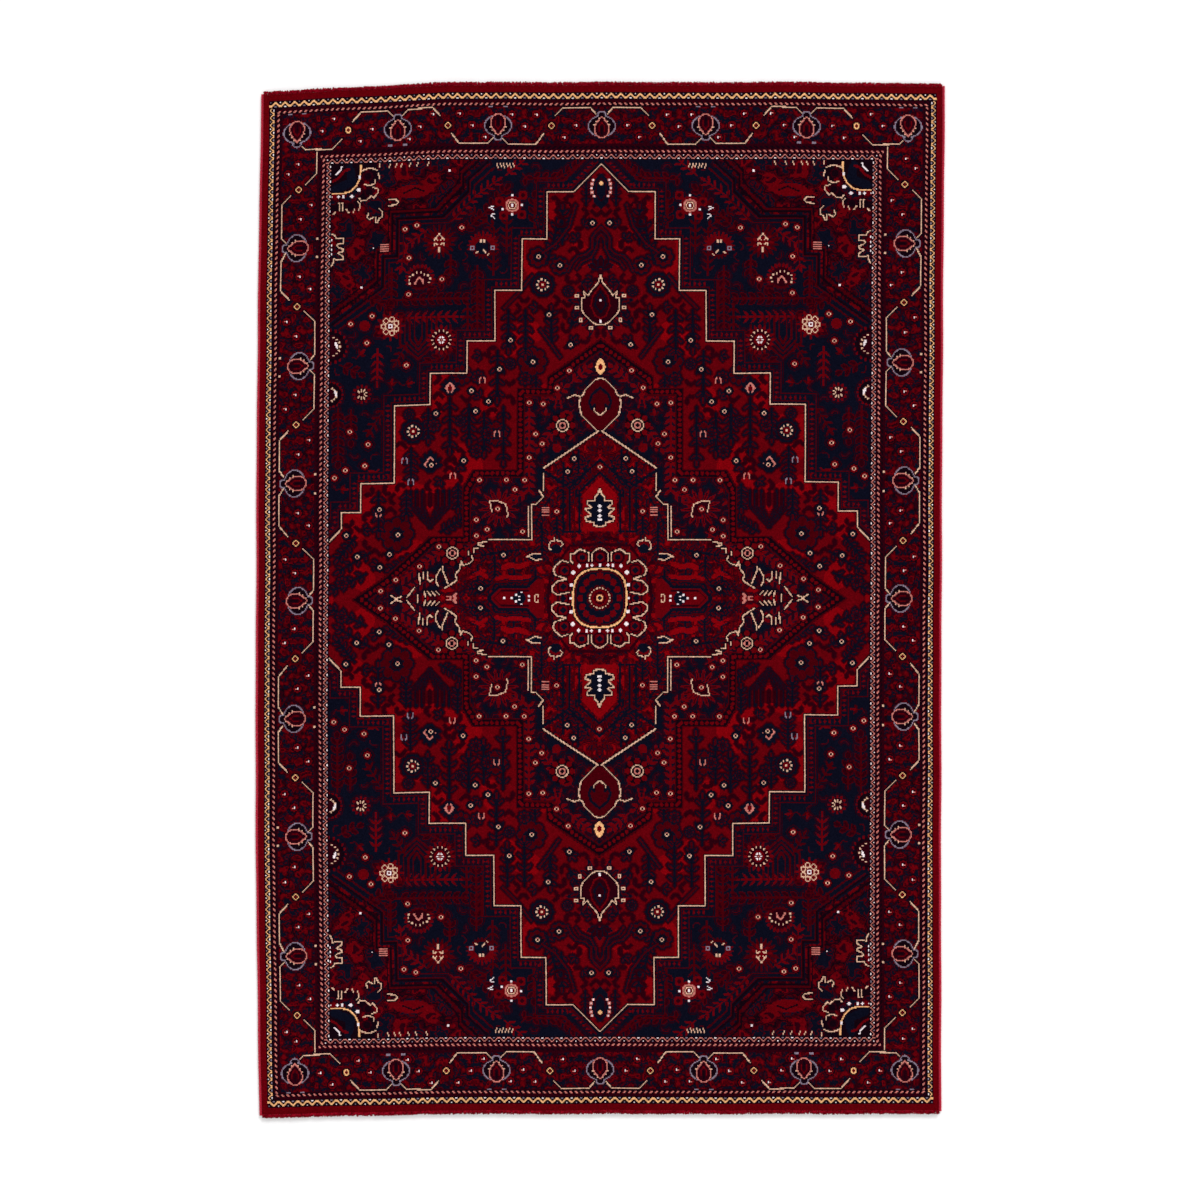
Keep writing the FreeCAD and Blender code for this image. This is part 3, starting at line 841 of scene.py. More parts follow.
for y, big in ((237, True), (192, False)):
    petals((252, y), 13 if big else 9, 4.5, 20, CRIMSON)
    beads(circle((252, y), 13 if big else 9, 9, 100, 260), 2.2, INK)
    beads(circle((252, y), 9 if big else 6, 7, 110, 250), 1.0, CREAM)
    stroke([(247, y + 3), (245.5, y - 1)], WHITE, 2.0)
paper[~field] = before[~field]
disc((220, 256), 5, CRIMSON)
for at in (
    (47.5, 263.5), (27.5, 236), (183, 345), (172, 348), (179, 318), (130, 345), (148, 297), (179, 284),
    (213, 265), (233, 258.5), (218, 240), (181, 218), (233, 157), (216, 145), (237, 121), (219, 125),
    (247, 114), (230, 73), (90, 254), (60, 317), (8.5, 349),
):
    if field_area[int(at[1]), int(at[0])]:
        eye(at, CREAM, CRIMSON)


def red_leaves(at, turn):
    """A fan of three crimson leaves on a curled stem."""
    stroke(placed([(-6.5, -3), (-4, 0.5), (0, 0)], at, turn), CLARET, 1.0)
    for lean in (-50, 50):
        leaf(at, turn + lean, 6.5, 2.4, CLARET)
    leaf(at, turn, 8.0, 3.0, CRIMSON)


def red_lines(at, turn):
    """A short crimson hook."""
    stroke(placed([(-3.5, -1.5), (-1, 1.5), (2, 1.5), (3.5, -0.5)], at, turn), CLARET, 1.0)


strewn(field_area, NAVY, 5, 7.5, red_leaves)
strewn(field_area, NAVY, 6, 5.5, red_lines)
outlined(field_area & (sway(41, 40) > -0.1), NAVY, WINE, 1, 1)

# spandrels: broad crimson scrolls with ink edges, on wine and navy
wave = sway(31, 27.0) + 0.42 * sway(32, 8.5)
terraces(spandrel_area, wave, ((-9, NAVY), (-0.75, CLARET), (-0.58, NAVY), (-0.30, CLARET), (-0.14, WINE),
                               (0.02, INK), (0.18, CLARET), (0.34, WINE), (0.46, CRIMSON), (0.95, WINE)))
paper[spandrel_area & (np.hypot((across - 176) / 17, (along - 380) / 6) < 1)] = CRIMSON
stroke([(166, 380), (174, 383), (184, 379)], INK, 1.6)
before = paper.copy()
for shift, yarn, width in ((2.6, INK, 2.0), (4.6, CLARET, 1.8), (6.6, INK, 1.4)):
    stroke([(x + shift, y + shift) for x, y in SPANDREL_EDGE], yarn, width)
paper[~spandrel_area] = before[~spandrel_area]

# spandrels: the corner fan, with its dots and leafy rim
FAN = [(225, 407), (225, 401), (226, 394), (228.8, 387.5), (235, 382), (241, 380.5), (252, 380.3)]
paper[field & inside(FAN + [(252, 408)])] = INK
stroke([(235, 404), (233, 391), (248, 385)], NAVY, 8)
stroke([(251, 392), (246, 395), (240, 402), (236, 403)], CRIMSON, 2.4)
stroke([(243, 406), (243.5, 403), (248, 398.5)], WHITE, 1.2)
stroke([(230, 407), (213, 407), (212, 394), (216, 384), (222, 377), (230, 369), (250, 367)], INK, 6.5)
for at in ((218, 396), (217, 381), (234, 368)):
    disc(at, 4.6, WINE)
    disc(at, 3.0, INK)
stroke(FAN, GOLD, 1.4)
drops(WHITE, (226, 395.5, 1.5), (226.8, 383.5, 1.8), (233, 377.5, 1.6), (241, 377.5, 1.4),
      (245.5, 377.5, 1.4), (251.5, 377.5, 1.0))
strokes(
    CREAM, 1.1, [(207.5, 407.5), (208, 404)], [(209.5, 401.5), (215, 403.5), (220, 403), (225, 401)],
    [(208.5, 398.5), (207.5, 394)], [(211, 393), (212, 389)],
    [(212.5, 388.5), (217, 387.5), (221.5, 388.5)],
    [(213.5, 385.5), (209, 384), (208.5, 380.5), (212.5, 376), (215, 377.5), (219, 374), (224.5, 373),
     (226, 375.5)],
    [(228, 373), (225.5, 370.5), (225.5, 366.5), (226.5, 365)], [(230.5, 365), (231.5, 362.5)],
    [(236, 362.5), (238, 365.5)], [(242, 372), (241.5, 364.5)], [(245, 372), (244.5, 364.5)],
    [(248, 364), (250, 361.5)],
)
paper[~field] = bands[~field]

# spandrels: combs, crabs and leaves
for line in (
    [(251, 342), (248, 341), (247, 338), (240.5, 338), (240.5, 333), (245, 333), (246, 331), (244, 329),
     (240.5, 328), (240.5, 326), (245, 324.5), (240.5, 321), (240.5, 318), (246, 318), (249, 319.5),
     (249, 316), (251, 312)],
    [(207, 365), (204, 362), (204.5, 357.5), (207.5, 356.5), (208.5, 352.5), (210.5, 352.5), (210.5, 357)],
    [(212.5, 357), (216, 355), (218.5, 357.5), (217, 361.5)],
    [(198, 373.5), (191, 373), (189.5, 370.5), (191.5, 368.5), (198, 367.5)],
):
    edged(line)
for y in (325.5, 327.5, 329.5, 331.5):
    stroke([(198.5, y), (205.5, y)], CORAL, 0.9)
beads(((251.5, 337), (251.5, 332), (251.5, 328), (251.5, 324), (212.5, 328.5), (142, 398), (223, 292)),
      0.9, WHITE)
for x in (199, 193, 188, 180, 173, 163):
    stroke([(x, 403), (x - 1.5, 406)], CREAM, 1.1)
for x in (98, 95, 92, 89, 86, 83):
    stroke([(x, 405), (x - 1.5, 400.5 + x % 2)], CREAM, 1.0)
strokes(WHITE, 1.0, [(100, 365), (104.5, 363.5), (100, 361.5)], [(99, 358), (103, 356.5), (99.5, 353.5)])
# medallion: bright crimson, with navy flowers, trees and palmettes
paper[medallion_area] = SCARLET


def scalloped(at, radius, ring=CREAM, lobes=10):
    """A lobed dark flower: two rings of petals, and pale dots round its eye."""
    beads(circle(at, radius * 0.76, lobes), radius * 0.27, NAVY)
    disc(at, radius * 0.82, NAVY)
    hoop(at, radius * 0.72, 18, WINE, 1.2)
    beads(circle(at, radius * 0.43, 9), 0.9, ring)
    disc(at, radius * 0.26, CRIMSON)
    disc(at, 1.0, ring)


def tree(foot, tip, reach, pairs):
    """A straight stem with pairs of broad rising leaves, each with a wine vein."""
    foot, tip = np.array(foot, float), np.array(tip, float)
    stroke([foot, tip], NAVY, 1.7)
    heading = math.degrees(math.atan2(*(tip - foot)[::-1]))
    for part in np.linspace(0.1, 0.84, pairs):
        at = foot + (tip - foot) * part
        for side in (-50, 50):
            leaf(at, heading + side, reach, reach * 0.46, NAVY, CLARET)
    leaf(tip - (tip - foot) * 0.08, heading, reach * 1.1, reach * 0.55, NAVY, CLARET)


def aster(at, radius):
    """A flower of eight claret petals, each edged in navy, round a navy heart."""
    beads(circle(at, radius * 0.72, 8), radius * 0.38, NAVY)
    beads(circle(at, radius * 0.72, 8), radius * 0.38 - 1.2, CLARET)
    disc(at, radius * 0.42, NAVY)
    hoop(at, radius * 0.3, 10, WINE, 1.0)


def palmette(at, turn, size):
    """A pointed, many-leaved flower head that opens upwards."""
    for flip in (False, True):
        for lean, long in ((78, 0.8), (48, 0.95), (22, 1.0)):
            leaf(at, turn + 90 + (lean if flip else -lean), size * long, size * 0.34, NAVY)
    leaf(at, turn + 90, size * 1.15, size * 0.5, NAVY)
    disc(at, size * 0.36, NAVY)
    disc(placed([(0, size * 0.2)], at, turn)[0], size * 0.2, CRIMSON)
    for flip in (False, True):
        stroke(placed([(size * 0.1, -size * 0.1), (size * 0.36, size * 0.22), (0, size * 0.62)], at, turn,
                      flip=flip), CORAL, 1.3)


for at in ((174, 156), (54, 292)):
    scalloped(at, 11.5)
aster((189, 60.5), 15)
aster((63.5, 220.5), 13)
aster((97, 153), 11)
aster((129, 208), 9)
aster((58.5, 317.5), 9)
aster((38, 309.5), 8)
scalloped((95, 84), 8, GOLD, 6)
for at, size in (((140, 193), 12), ((158, 122), 15), ((104, 90), 10), ((206, 78), 8)):
    palmette(at, 0, size)
for r in (7, 12.5, 18):
    stroke([(158 + r, 100), (158 + r, 86), (158, 72 - r * 0.35), (158 - r, 86), (158 - r, 100)], NAVY, 2.6)
    stroke([(158 + r, 98), (158 + r, 86), (158, 72 - r * 0.35), (158 - r, 86), (158 - r, 98)], WINE, 1.0)
for x in (146, 152, 158, 164, 170):
    stroke([(x, 86), (x, 98)], WINE, 1.4)
for foot, tip, reach in (
    ((140, 186), (140, 138), 10), ((122, 180), (122, 148), 10), ((70, 268), (70, 226), 10),
    ((36, 330), (36, 362), 9), ((96, 230), (96, 186), 10), ((108, 172), (108, 136), 9),
    ((176, 140), (176, 112), 9), ((206, 100), (206, 62), 9), ((86, 268), (86, 232), 9),
    ((90, 178), (90, 126), 9), ((28, 252), (16, 276), 8), ((46, 236), (46, 268), 9),
    ((148, 62), (128, 74), 8), ((228, 58), (244, 38), 8), ((214, 44), (244, 26), 8),
    ((14, 366), (14, 392), 6), ((132, 106), (132, 84), 8), ((180, 100), (180, 78), 8),
    ((50, 312), (40, 350), 9), ((60, 206), (60, 182), 7), ((172, 40), (196, 28), 8),
    ((218, 24), (250, 8), 8), ((252, 40), (268, 18), 7), ((160, 176), (160, 148), 8),
):
    tree(foot, tip, reach, 4)
for at, radius in (((155, 161), 6), ((115, 137), 6), ((114, 206), 6), ((70, 204), 6), ((104, 153), 6),
                   ((240, 16), 6),
                   ((270, 12), 6), ((178, 172), 5), ((130, 165), 5), ((84, 218), 5), ((56, 352), 6),
                   ((30, 286), 5)):
    aster(at, radius)
for line in (
    [(0, 345), (5, 340), (8, 335), (8, 325), (14, 320), (22, 318), (27, 312), (30, 305)],
    [(0, 338), (3, 335), (4, 326), (9, 317), (18, 313), (22, 307)], [(56, 250), (45, 235), (38, 225)],
    [(60, 318), (42, 330), (30, 346), (24, 366)], [(90, 270), (76, 284), (64, 300)],
):
    stroke(line, NAVY, 4.0)
    stroke(line, CLARET, 1.5)


def dark_leaves(at, turn):
    """A fan of three navy leaves on a curled stem."""
    stroke(placed([(-7.5, -3), (-4, 0.5), (0, 0)], at, turn), WINE, 1.3)
    for lean in (-52, 0, 52):
        leaf(at, turn + lean, 7.5 if lean else 9.0, 4.2, NAVY, CLARET)


def dark_drop(at, turn):
    """A short wine hook."""
    stroke(placed([(-4, -1.8), (-1, 1.6), (2, 1.6), (4, -0.8)], at, turn), WINE, 1.4)


strewn(medallion_area, SCARLET, 7, 8.0, dark_leaves)
strewn(medallion_area, SCARLET, 8, 4.8, dark_drop)
outlined(medallion_area, SCARLET, WINE, 0, 1)
outlined(medallion_area, SCARLET, CLARET, 0, 1)
paper[medallion_area & (paper == SCARLET) & (sway(44, 50) < 0.3)] = CRIMSON
for at in ((140, 196), (110, 203), (158, 128), (182, 129), (176, 109), (137, 114), (96, 153), (104, 92)):
    for flip in (False, True):
        stroke(placed([(1.4, 2.4), (2.8, 0), (2.2, -2.4)], at, 0, flip=flip),
               LILAC if at[0] > 170 else CORAL, 1.2)

# medallion: the head palmette and the crown at its point
HEAD = [(0, 300), (1.5, 294), (4, 290), (8, 286.5), (11, 281), (15, 285), (14, 279), (17.5, 279), (17.5, 268),
        (15, 264), (11, 260), (7.5, 256), (3, 254), (0, 254)]
for lean in (-75, -52, -30, -8, 14, 36, 58):
    leaf(placed([(13, 0)], (3, 271), lean)[0], lean, 17 if lean % 4 else 11, 5.0, NAVY, CLARET)
for lean in (20, 55, 90):
    leaf((0, 306), lean, 14, 6.4, NAVY, WINE)
fill(mirrored(HEAD), WINE)
edged(HEAD, CREAM, 3.2)
stroke([(0, 291), (7, 281), (9, 272), (5, 263), (0, 260)], CRIMSON, 1.6)
stroke([(0, 285), (4, 279), (5, 272), (0, 266)], NAVY, 1.8)
beads(((0, 277), (0, 257.5)), 1.3, WHITE)
for at in ((22, 281.5), (22, 270.5), (18.5, 259), (9, 251.5)):
    hoop(at, 1.7, 6, CREAM, 1.0)
fill([(0, 396), (7, 388), (8, 380), (7, 368), (0, 362)], NAVY)
stroke([(0, 391), (4.5, 386), (5, 376), (0, 369)], WINE, 1.4)
disc((0, 386), 1.6, GOLD)
for at in ((7.5, 389), (8.5, 385.5), (9, 381.5), (8.5, 377.5), (6.5, 374)):
    disc(at, 1.5, CORAL)
    disc(at, 0.8, WHITE)
stroke(circle((34, 362), 7, 12, -70, 200), WINE, 2.4)
stroke(circle((38, 350), 4.5, 9, 60, 330), WINE, 2.0)
for at in (
    (66, 182.5), (53, 181), (60, 153), (53.5, 144), (66, 131), (63, 120.5), (88, 110.5), (84, 240.5),
    (94, 213), (63, 220.5), (153, 172), (120, 193), (104, 183), (115.5, 174), (127, 128.5), (157, 123.5),
    (113, 110), (188.5, 60.5), (196.5, 42.5), (180, 13), (205, 84), (38, 309.5), (58.5, 317.5),
    (47.5, 263.5), (27.5, 236), (8.5, 349), (226, 40), (250, 30), (266, 22), (282, 8), (236, 60), (205, 30),
):
    if medallion_area[int(at[1]), min(int(at[0]), COLUMNS - 1)] and at[0] < 250:
        eye(at, CREAM, NAVY)

# medallion: its outline, cream with ink on both sides
visible = [p for p in MEDALLION_EDGE if p[0] < 252] + [(252, 53.5)]
before = paper.copy()
edged(visible)
paper[~field] = bands[~field]
# cartouche: a navy ground inside a guard of dark red blocks
paper[cartouche_area] = NAVY
for points in (
    [(66, 178), (66, 100), (96, 84)], [(58, 182), (34, 196)], [(28, 200), (12, 214)], [(98, 62), (140, 36)],
    [(146, 44), (186, 18)], [(24, 176), (40, 160)], [(36, 168), (56, 140)], [(150, 22), (178, 8)],
):
    sprig(points, CRIMSON, 8.5, 6.6, 3.4, 1.3, 46)
for lean in range(-150, 211, 24):
    leaf(placed([(5, 0)], (94, 84), lean)[0], lean, 15 if lean % 48 else 10, 3.6,
         CRIMSON if lean % 48 else CLARET, WINE)
fill([(102.5, 81.5), (102.5, 90.5), (95, 90.5), (87, 87), (85.5, 77.5), (92, 76)], WINE)
stroke([(100.5, 80.5), (102.5, 90.5), (95.5, 90.5), (87.5, 87.5), (85.5, 77.5), (86.5, 75.5)], CREAM, 1.1)
strewn(cartouche_area, NAVY, 15, 7.0, red_leaves)
strewn(cartouche_area, NAVY, 16, 4.0, red_lines)
outlined(cartouche_area, NAVY, WINE, 1, 1)
before = paper.copy()
stroke(CARTOUCHE_EDGE, INK, 17)
for a, b in zip(CARTOUCHE_EDGE[:-1], CARTOUCHE_EDGE[1:]):
    run = math.hypot(b[0] - a[0], b[1] - a[1])
    for part in np.arange(2.0, run, 4.8):
        disc((a[0] + (b[0] - a[0]) * part / run - 3.8, a[1] + (b[1] - a[1]) * part / run - 3.8), 1.75,
             CRIMSON)
for shift in (0.6, 7.2):
    stroke([(x - shift, y - shift) for x, y in CARTOUCHE_EDGE], CLARET, 1.4)
paper[~cartouche_area] = before[~cartouche_area]
for at in (
    (66, 182.5), (53, 181), (60, 153), (53.5, 144), (66, 131), (70, 110), (40, 196), (79, 101), (72, 62),
    (115, 73), (105, 64.5), (29, 211.5), (115, 57.5), (87, 110.5), (112, 110.5), (95, 83), (150, 48),
    (168, 30), (190, 18), (204, 8),
):
    if cartouche_area[int(at[1]), int(at[0])]:
        eye(at, CREAM, CRIMSON)


def two_ring(at):
    """A gold ring round a smaller one, with red petals outside."""
    disc(at, 12, INK)
    beads(circle(at, 9.4, 8), 2.7, CRIMSON)
    disc(at, 7, INK)
    hoop(at, 5.4, 14, CREAM, 1.0)
    hoop(at, 2.7, 8, CORAL, 1.1)


two_ring((35, 161))
two_ring((137.5, 42))
PENDANT = [(0, 204.5), (4, 203), (14, 193), (15, 189), (18, 187), (19, 180), (18.5, 175), (17.5, 170),
           (3, 156.5), (0, 155.5)]
fill(mirrored(PENDANT), CLARET)
for line in (PENDANT, [(18, 187), (23, 189), (30, 186)], [(5, 178), (5, 174), (3, 172), (0, 170)]):
    edged(line, CREAM, 2.4)
stroke([(0, 196), (8, 189), (10, 182), (8, 176), (5, 180)], NAVY, 2.4)
fill([(0, 224), (3, 220), (5, 215), (3, 210), (0, 208)], GOLD)
fill([(0, 219), (2, 216), (2, 213), (0, 211)], CRIMSON)
stroke([(39, 192), (36, 178)], CRIMSON, 1.8)
stroke([(39, 192), (42, 178)], CRIMSON, 1.8)

# cross medallion: crimson, framed in gold
wave = sway(61, 17.0) + 0.4 * sway(62, 6.5)
terraces(cross_area, wave, ((-9, SCARLET), (-0.55, CLARET), (-0.42, NAVY), (-0.28, CLARET), (-0.12, WINE),
                            (0.0, CLARET), (0.10, CRIMSON), (0.26, SCARLET), (0.95, WINE)))
for points in (
    [(20, 138), (20, 112), (34, 104)], [(34, 126), (34, 90)], [(44, 98), (60, 70)], [(40, 86), (40, 60)],
    [(54, 70), (54, 40)], [(70, 46), (110, 40)], [(80, 36), (80, 14)], [(98, 38), (98, 12)],
    [(114, 30), (114, 8)], [(60, 26), (60, 6)], [(66, 18), (126, 8)], [(10, 128), (24, 96)],
):
    sprig(points, NAVY, 9.0, 8.0, 4.6, 1.6, 48, CLARET)
outlined(cross_area, SCARLET, CLARET, 0, 1)
for line in (
    [(1, 155.5), (52.5, 121), (52.5, 100)],
    [(56.5, 100), (54, 97), (52.5, 94), (59, 87), (63.5, 87), (63.5, 54), (103, 54)],
    [(105, 52), (113, 51.5), (113, 49), (108, 48.5)], [(113, 46.5), (117, 46), (117, 42)],
    [(122, 43), (122, 40)],
    [(119, 39), (118, 35), (121, 32.5), (127, 30.5), (129.5, 34.5), (130, 27), (134, 22), (133.5, 16),
     (139, 12), (144, 9)],
    [(146.5, 29), (146.5, 25.5), (143.5, 18.5), (141, 13)],
    [(148, 27.5), (152.5, 20.5), (152.5, 15.5), (150, 11)], [(168.5, 23.5), (167.5, 13.5)],
    [(164.5, 24), (164.5, 18)], [(160.5, 24), (160, 18), (158, 15.5), (155.5, 17)], [(172, 10), (179, 1.5)],
    [(163, 6.5), (162, 1.5)], [(160.5, 6.5), (157, 2.5)], [(156.5, 6.5), (153, 2.5)],
    [(152.5, 6), (149.5, 3)], [(184.5, 2.5), (189.5, 0.5), (194, 3.5)], [(169, 3.5), (169, 0)],
):
    edged(line)
stroke([(66.5, 86), (66.5, 57)], CREAM, 1.0)
fill([(104, 0), (94, 10.5), (67, 11), (60, 18), (52, 18), (52, 0)], CRIMSON)
for line, yarn, width in (
    ([(104, 0), (94, 10.5), (67, 11), (59, 20)], NAVY, 3.0),
    ([(108, 5), (97, 15), (70, 15.5)], CLARET, 1.4), ([(99, 0), (92, 7), (66, 7)], WINE, 1.4),
    ([(96, 18), (88, 20), (78, 18.5), (66, 20.5)], SCARLET, 4.0),
    ([(90, 28), (84, 31), (76, 29), (68, 32)], SCARLET, 5.0),
    ([(120, 20), (112, 24), (106, 20)], SCARLET, 4.0),
    ([(144, 0), (130, 11), (128, 20), (116, 22)], CLARET, 1.4),
    ([(140, 0), (126, 9), (122, 16)], WINE, 1.6), ([(56, 121), (34, 107), (34, 62), (18, 62)], NAVY, 3.0),
    ([(52, 112), (30, 100), (30, 66)], CLARET, 1.4),
):
    stroke(line, yarn, width)
disc((40, 140), 4, CRIMSON)
fill([(0, 112), (16, 97), (16, 62), (0, 62)], SCARLET)
for line, yarn, width in (([(0, 117), (19, 99), (19, 64)], NAVY, 2.4),
                          ([(0, 123), (23.5, 101), (23.5, 60)], CLARET, 1.4),
                          ([(0, 129), (28, 103), (28, 64)], NAVY, 2.0), ([(4, 57), (16, 54)], WINE, 3.0)):
    stroke(line, yarn, width)
eye((0, 122), CREAM, CRIMSON)
disc((75, 0), 6, NAVY)
drops(WHITE, (89, 0, 1.4), (82, 0, 1.0), (78, 2.8, 0.9), (73, 5.5, 1.1), (75, 1.8, 0.8), (66, 2, 1.2))
stroke([(61, 0), (60, 3), (57, 3.5), (58, 1)], CREAM, 1.0)
stroke([(134, 4), (136, 2), (134, 0)], CORAL, 1.5)
stroke([(142.5, 1.5), (139, 1.5), (139, 0)], CORAL, 1.2)

# cross medallion: the centre palmette, combs and crabs
CENTRE = [(0, 101), (1.5, 96), (4.5, 94), (4.5, 90), (11, 90.5), (11.5, 87), (7, 84), (8, 83), (13, 83),
          (12.5, 81), (8, 78.5), (8, 76), (13, 75), (12.5, 71), (5.5, 70.5), (5, 67), (0, 66.5)]
fill(mirrored(CENTRE), NAVY)
edged(CENTRE, CREAM, 2.4)
for y in (85.5, 81.5, 76.5, 73):
    disc((0.5, y), 1.3, WHITE)
for y in (84.5, 82.5, 80.5, 77.5):
    stroke([(47, y), (54, y)], CORAL, 1.0)
eye((40, 81), CREAM, CRIMSON)
disc((41, 48), 6.5, NAVY)
stroke([(45.5, 49), (44, 51), (41, 52), (38, 51), (36.5, 49.5)], CRIMSON, 2.0)
strokes(CREAM, 1.1, [(45.5, 45.5), (47.5, 46.5), (47.5, 50.5), (45.5, 53.5), (43.5, 53.5)],
        [(42.5, 53.5), (42.5, 56.5)],
             [(40.5, 54.5), (38.5, 53.5), (36.5, 53.5), (34.5, 50.5), (36.5, 48.5)])
leaf((69, 38.5), 180, 15, 8, NAVY)
strokes(CREAM, 1.1, [(68.5, 38.5), (62.5, 41.5), (55.5, 41.5)], [(66, 38.5), (60, 35.5), (54.5, 36.5)])
for at in ((73, 62), (111, 9), (90, 40), (30, 118), (24, 130)):
    if cross_area[int(at[1]), int(at[0])]:
        eye(at, CREAM, NAVY)

# centre rosette: a gold rounded square with cut petals round it
paper[rosette_area] = CRIMSON
stroke([(48, 0), (47, 20), (38, 35), (28, 49), (0, 50)], WINE, 2.4)
for x, y in ((0, 38), (16.5, 38), (33, 26), (34, 11), (34, 0)):
    disc((x, y), 6.4, WINE)
    disc((x, y), 4.4, CRIMSON)
    disc((x, y), 2.6, NAVY)
SQUARE = [(0, 27.5), (8.2, 26.9), (14.9, 24.7), (19.4, 21.3), (22.8, 16.3), (24.4, 10.1), (25.2, 0)]
fill([(0, 0)] + SQUARE, NAVY)
stroke(SQUARE, INK, 4.6)
stroke([(x * 0.91, y * 0.91) for x, y in SQUARE], CLARET, 1.2)
stroke(SQUARE, GOLD, 1.7)
for line in (
    [(7.5, 34), (7.5, 41.5), (4, 44.5), (0, 46.5)], [(10.5, 34), (10.5, 42.5), (13, 43.5)],
    [(13, 43.5), (18, 45.5), (22, 43.5), (23.5, 41.5), (27.5, 41), (27, 35), (25.5, 32.5)],
    [(29.5, 33), (35, 35), (41.5, 30.5), (43, 26), (41.5, 21.5), (38.5, 20)],
    [(38.5, 20), (31, 18.5), (31, 17), (38, 16), (41.5, 14.5), (44, 10), (44, 6), (39.5, 3.5), (28, 5.5)],
):
    edged(line)
drops(WHITE, (0, 30.5, 1.4), (7.5, 30.5, 1.4), (12, 30.5, 1.4), (19.5, 30, 1.7), (25, 24, 2.0),
      (26.5, 12.5, 2.0), (27, 0, 1.0))
for spot in circle((0, 0), 18.5, 16):
    if min(spot) > -3:
        disc((spot[0] * 0.94, spot[1] * 1.1), 3.3, CRIMSON)
for spot in circle((0, 0), 14.5, 16, 11):
    if min(spot) > -3:
        disc((spot[0] * 0.94, spot[1] * 1.1), 2.6, NAVY)
disc((0, 0), 12.3, CLARET)
for spot in circle((0, 0), 12.2, 12):
    if min(spot) > -2:
        disc(spot, 1.6, NAVY)
for spot in circle((0, 0), 9.3, 20):
    if min(spot) > -2:
        disc(spot, 0.85, CREAM)
disc((0, 0), 7.8, CRIMSON)
hoop((0, 0), 5.2, 14, WINE, 1.2)
disc((0, 0), 3.4, GOLD)
disc((0, 0), 1.9, NAVY)

# === PILE ==============================================================================================
# Cut tufts, held row by row in the ground and sheared level, 320 to the metre. Each block holds the tufts of
# one part of the design. No two tufts take the dye alike, and each dye lot shifts the shade along the rug.

BAND_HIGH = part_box("pile_plain_band")[1]
PILE_TOP = BAND_HIGH.z
TUFT_X, TUFT_Y = WOVEN_HALF / COLUMNS, BAND_HIGH.y / ROWS

# The yarns' dyes, as linear colours.
DYES = {
    "navy": (0.0030, 0.0034, 0.0096),
    "ink": (0.0055, 0.0012, 0.0036),
    "wine": (0.0190, 0.0005, 0.0034),
    "claret": (0.0480, 0.0004, 0.0026),
    "crimson": (0.0980, 0.0006, 0.0028),
    "scarlet": (0.1700, 0.0007, 0.0028),
    "coral": (0.4800, 0.1500, 0.1250),
    "gold": (0.7200, 0.3700, 0.1650),
    "cream": (0.5800, 0.3550, 0.2450),
    "white": (0.7200, 0.6200, 0.6400),
    "lilac": (0.1900, 0.1500, 0.2000),
}

# dyed yarn: the colour of the yarn number that a tuft holds
dye_group, inlet, outlet, _ = new_group("dyed_yarn", {"Yarn": 0.0}, ("Color",), "NodeSocketColor")
part = maths(dye_group, "DIVIDE", maths(dye_group, "ADD", inlet[0], 0.5), len(YARNS))
dyes = add(dye_group, "ShaderNodeValToRGB", {0: part})
stops = dyes.color_ramp.elements
dyes.color_ramp.interpolation = "CONSTANT"
stops.remove(stops[-1])
for number, name in enumerate(YARNS):
    stop = stops.new(number / len(YARNS)) if number else stops[0]
    stop.color = (*DYES[name], 1)
fed(outlet, {0: dyes})

# abrash: slow bands of shade along the rug, one for each lot of yarn
abrash_group, inlet, outlet, place = new_group("abrash", {"Depth": 0.08}, ("Shade",))
lots = add(abrash_group, "ShaderNodeMapping", {"Vector": place, "Scale": (0.35, 5.0, 0.0)})
bands = add(abrash_group, "ShaderNodeTexNoise", {"Vector": lots, "Scale": 1.0, "Detail": 4.0})
depth = maths(abrash_group, "MULTIPLY", maths(abrash_group, "SUBTRACT", bands, 0.5), inlet[0])
fed(outlet, {0: maths(abrash_group, "MULTIPLY_ADD", depth, 5.0, 1.0)})

# cut tufts: the round top of each tuft, from its place on the loom
tuft_group, _, outlet, _ = new_group("cut_tufts", {}, ("Height",))
part = add(tuft_group, "ShaderNodeUVMap", uv_map="tufts")
part = add(tuft_group, "ShaderNodeVectorMath", {0: part}, operation="FRACTION")
middle = add(tuft_group, "ShaderNodeVectorMath", {0: part, 1: (0.5, 0.5, 0)}, operation="SUBTRACT")
away = add(tuft_group, "ShaderNodeVectorMath", {0: middle}, operation="LENGTH").outputs["Value"]
dome = {"Value": away, "From Min": 0.15, "From Max": 0.62, "To Min": 1.0, "To Max": 0.0}
fed(outlet, {0: add(tuft_group, "ShaderNodeMapRange", dome, interpolation_type="SMOOTHSTEP")})

pile_yarn, tree, shader, _ = new_material("pile_yarn", 0.95, 0.0)
number = add(tree, "ShaderNodeAttribute", attribute_name="yarn").outputs["Fac"]
strength = add(tree, "ShaderNodeAttribute", attribute_name="strength").outputs["Fac"]
dyed = add(tree, "ShaderNodeGroup", {0: number}, node_tree=dye_group)
abrash = add(tree, "ShaderNodeGroup", node_tree=abrash_group)
fibre = add(tree, "ShaderNodeGroup", node_tree=fibre_group).outputs
tufts = add(tree, "ShaderNodeGroup", node_tree=tuft_group)
shade = maths(tree, "MULTIPLY", maths(tree, "MULTIPLY", abrash, fibre["Shade"]), strength)
finish(tree, shader, dyed, shade, maths(tree, "MULTIPLY_ADD", fibre["Height"], 0.5, tufts), 0.0012, 0.35)

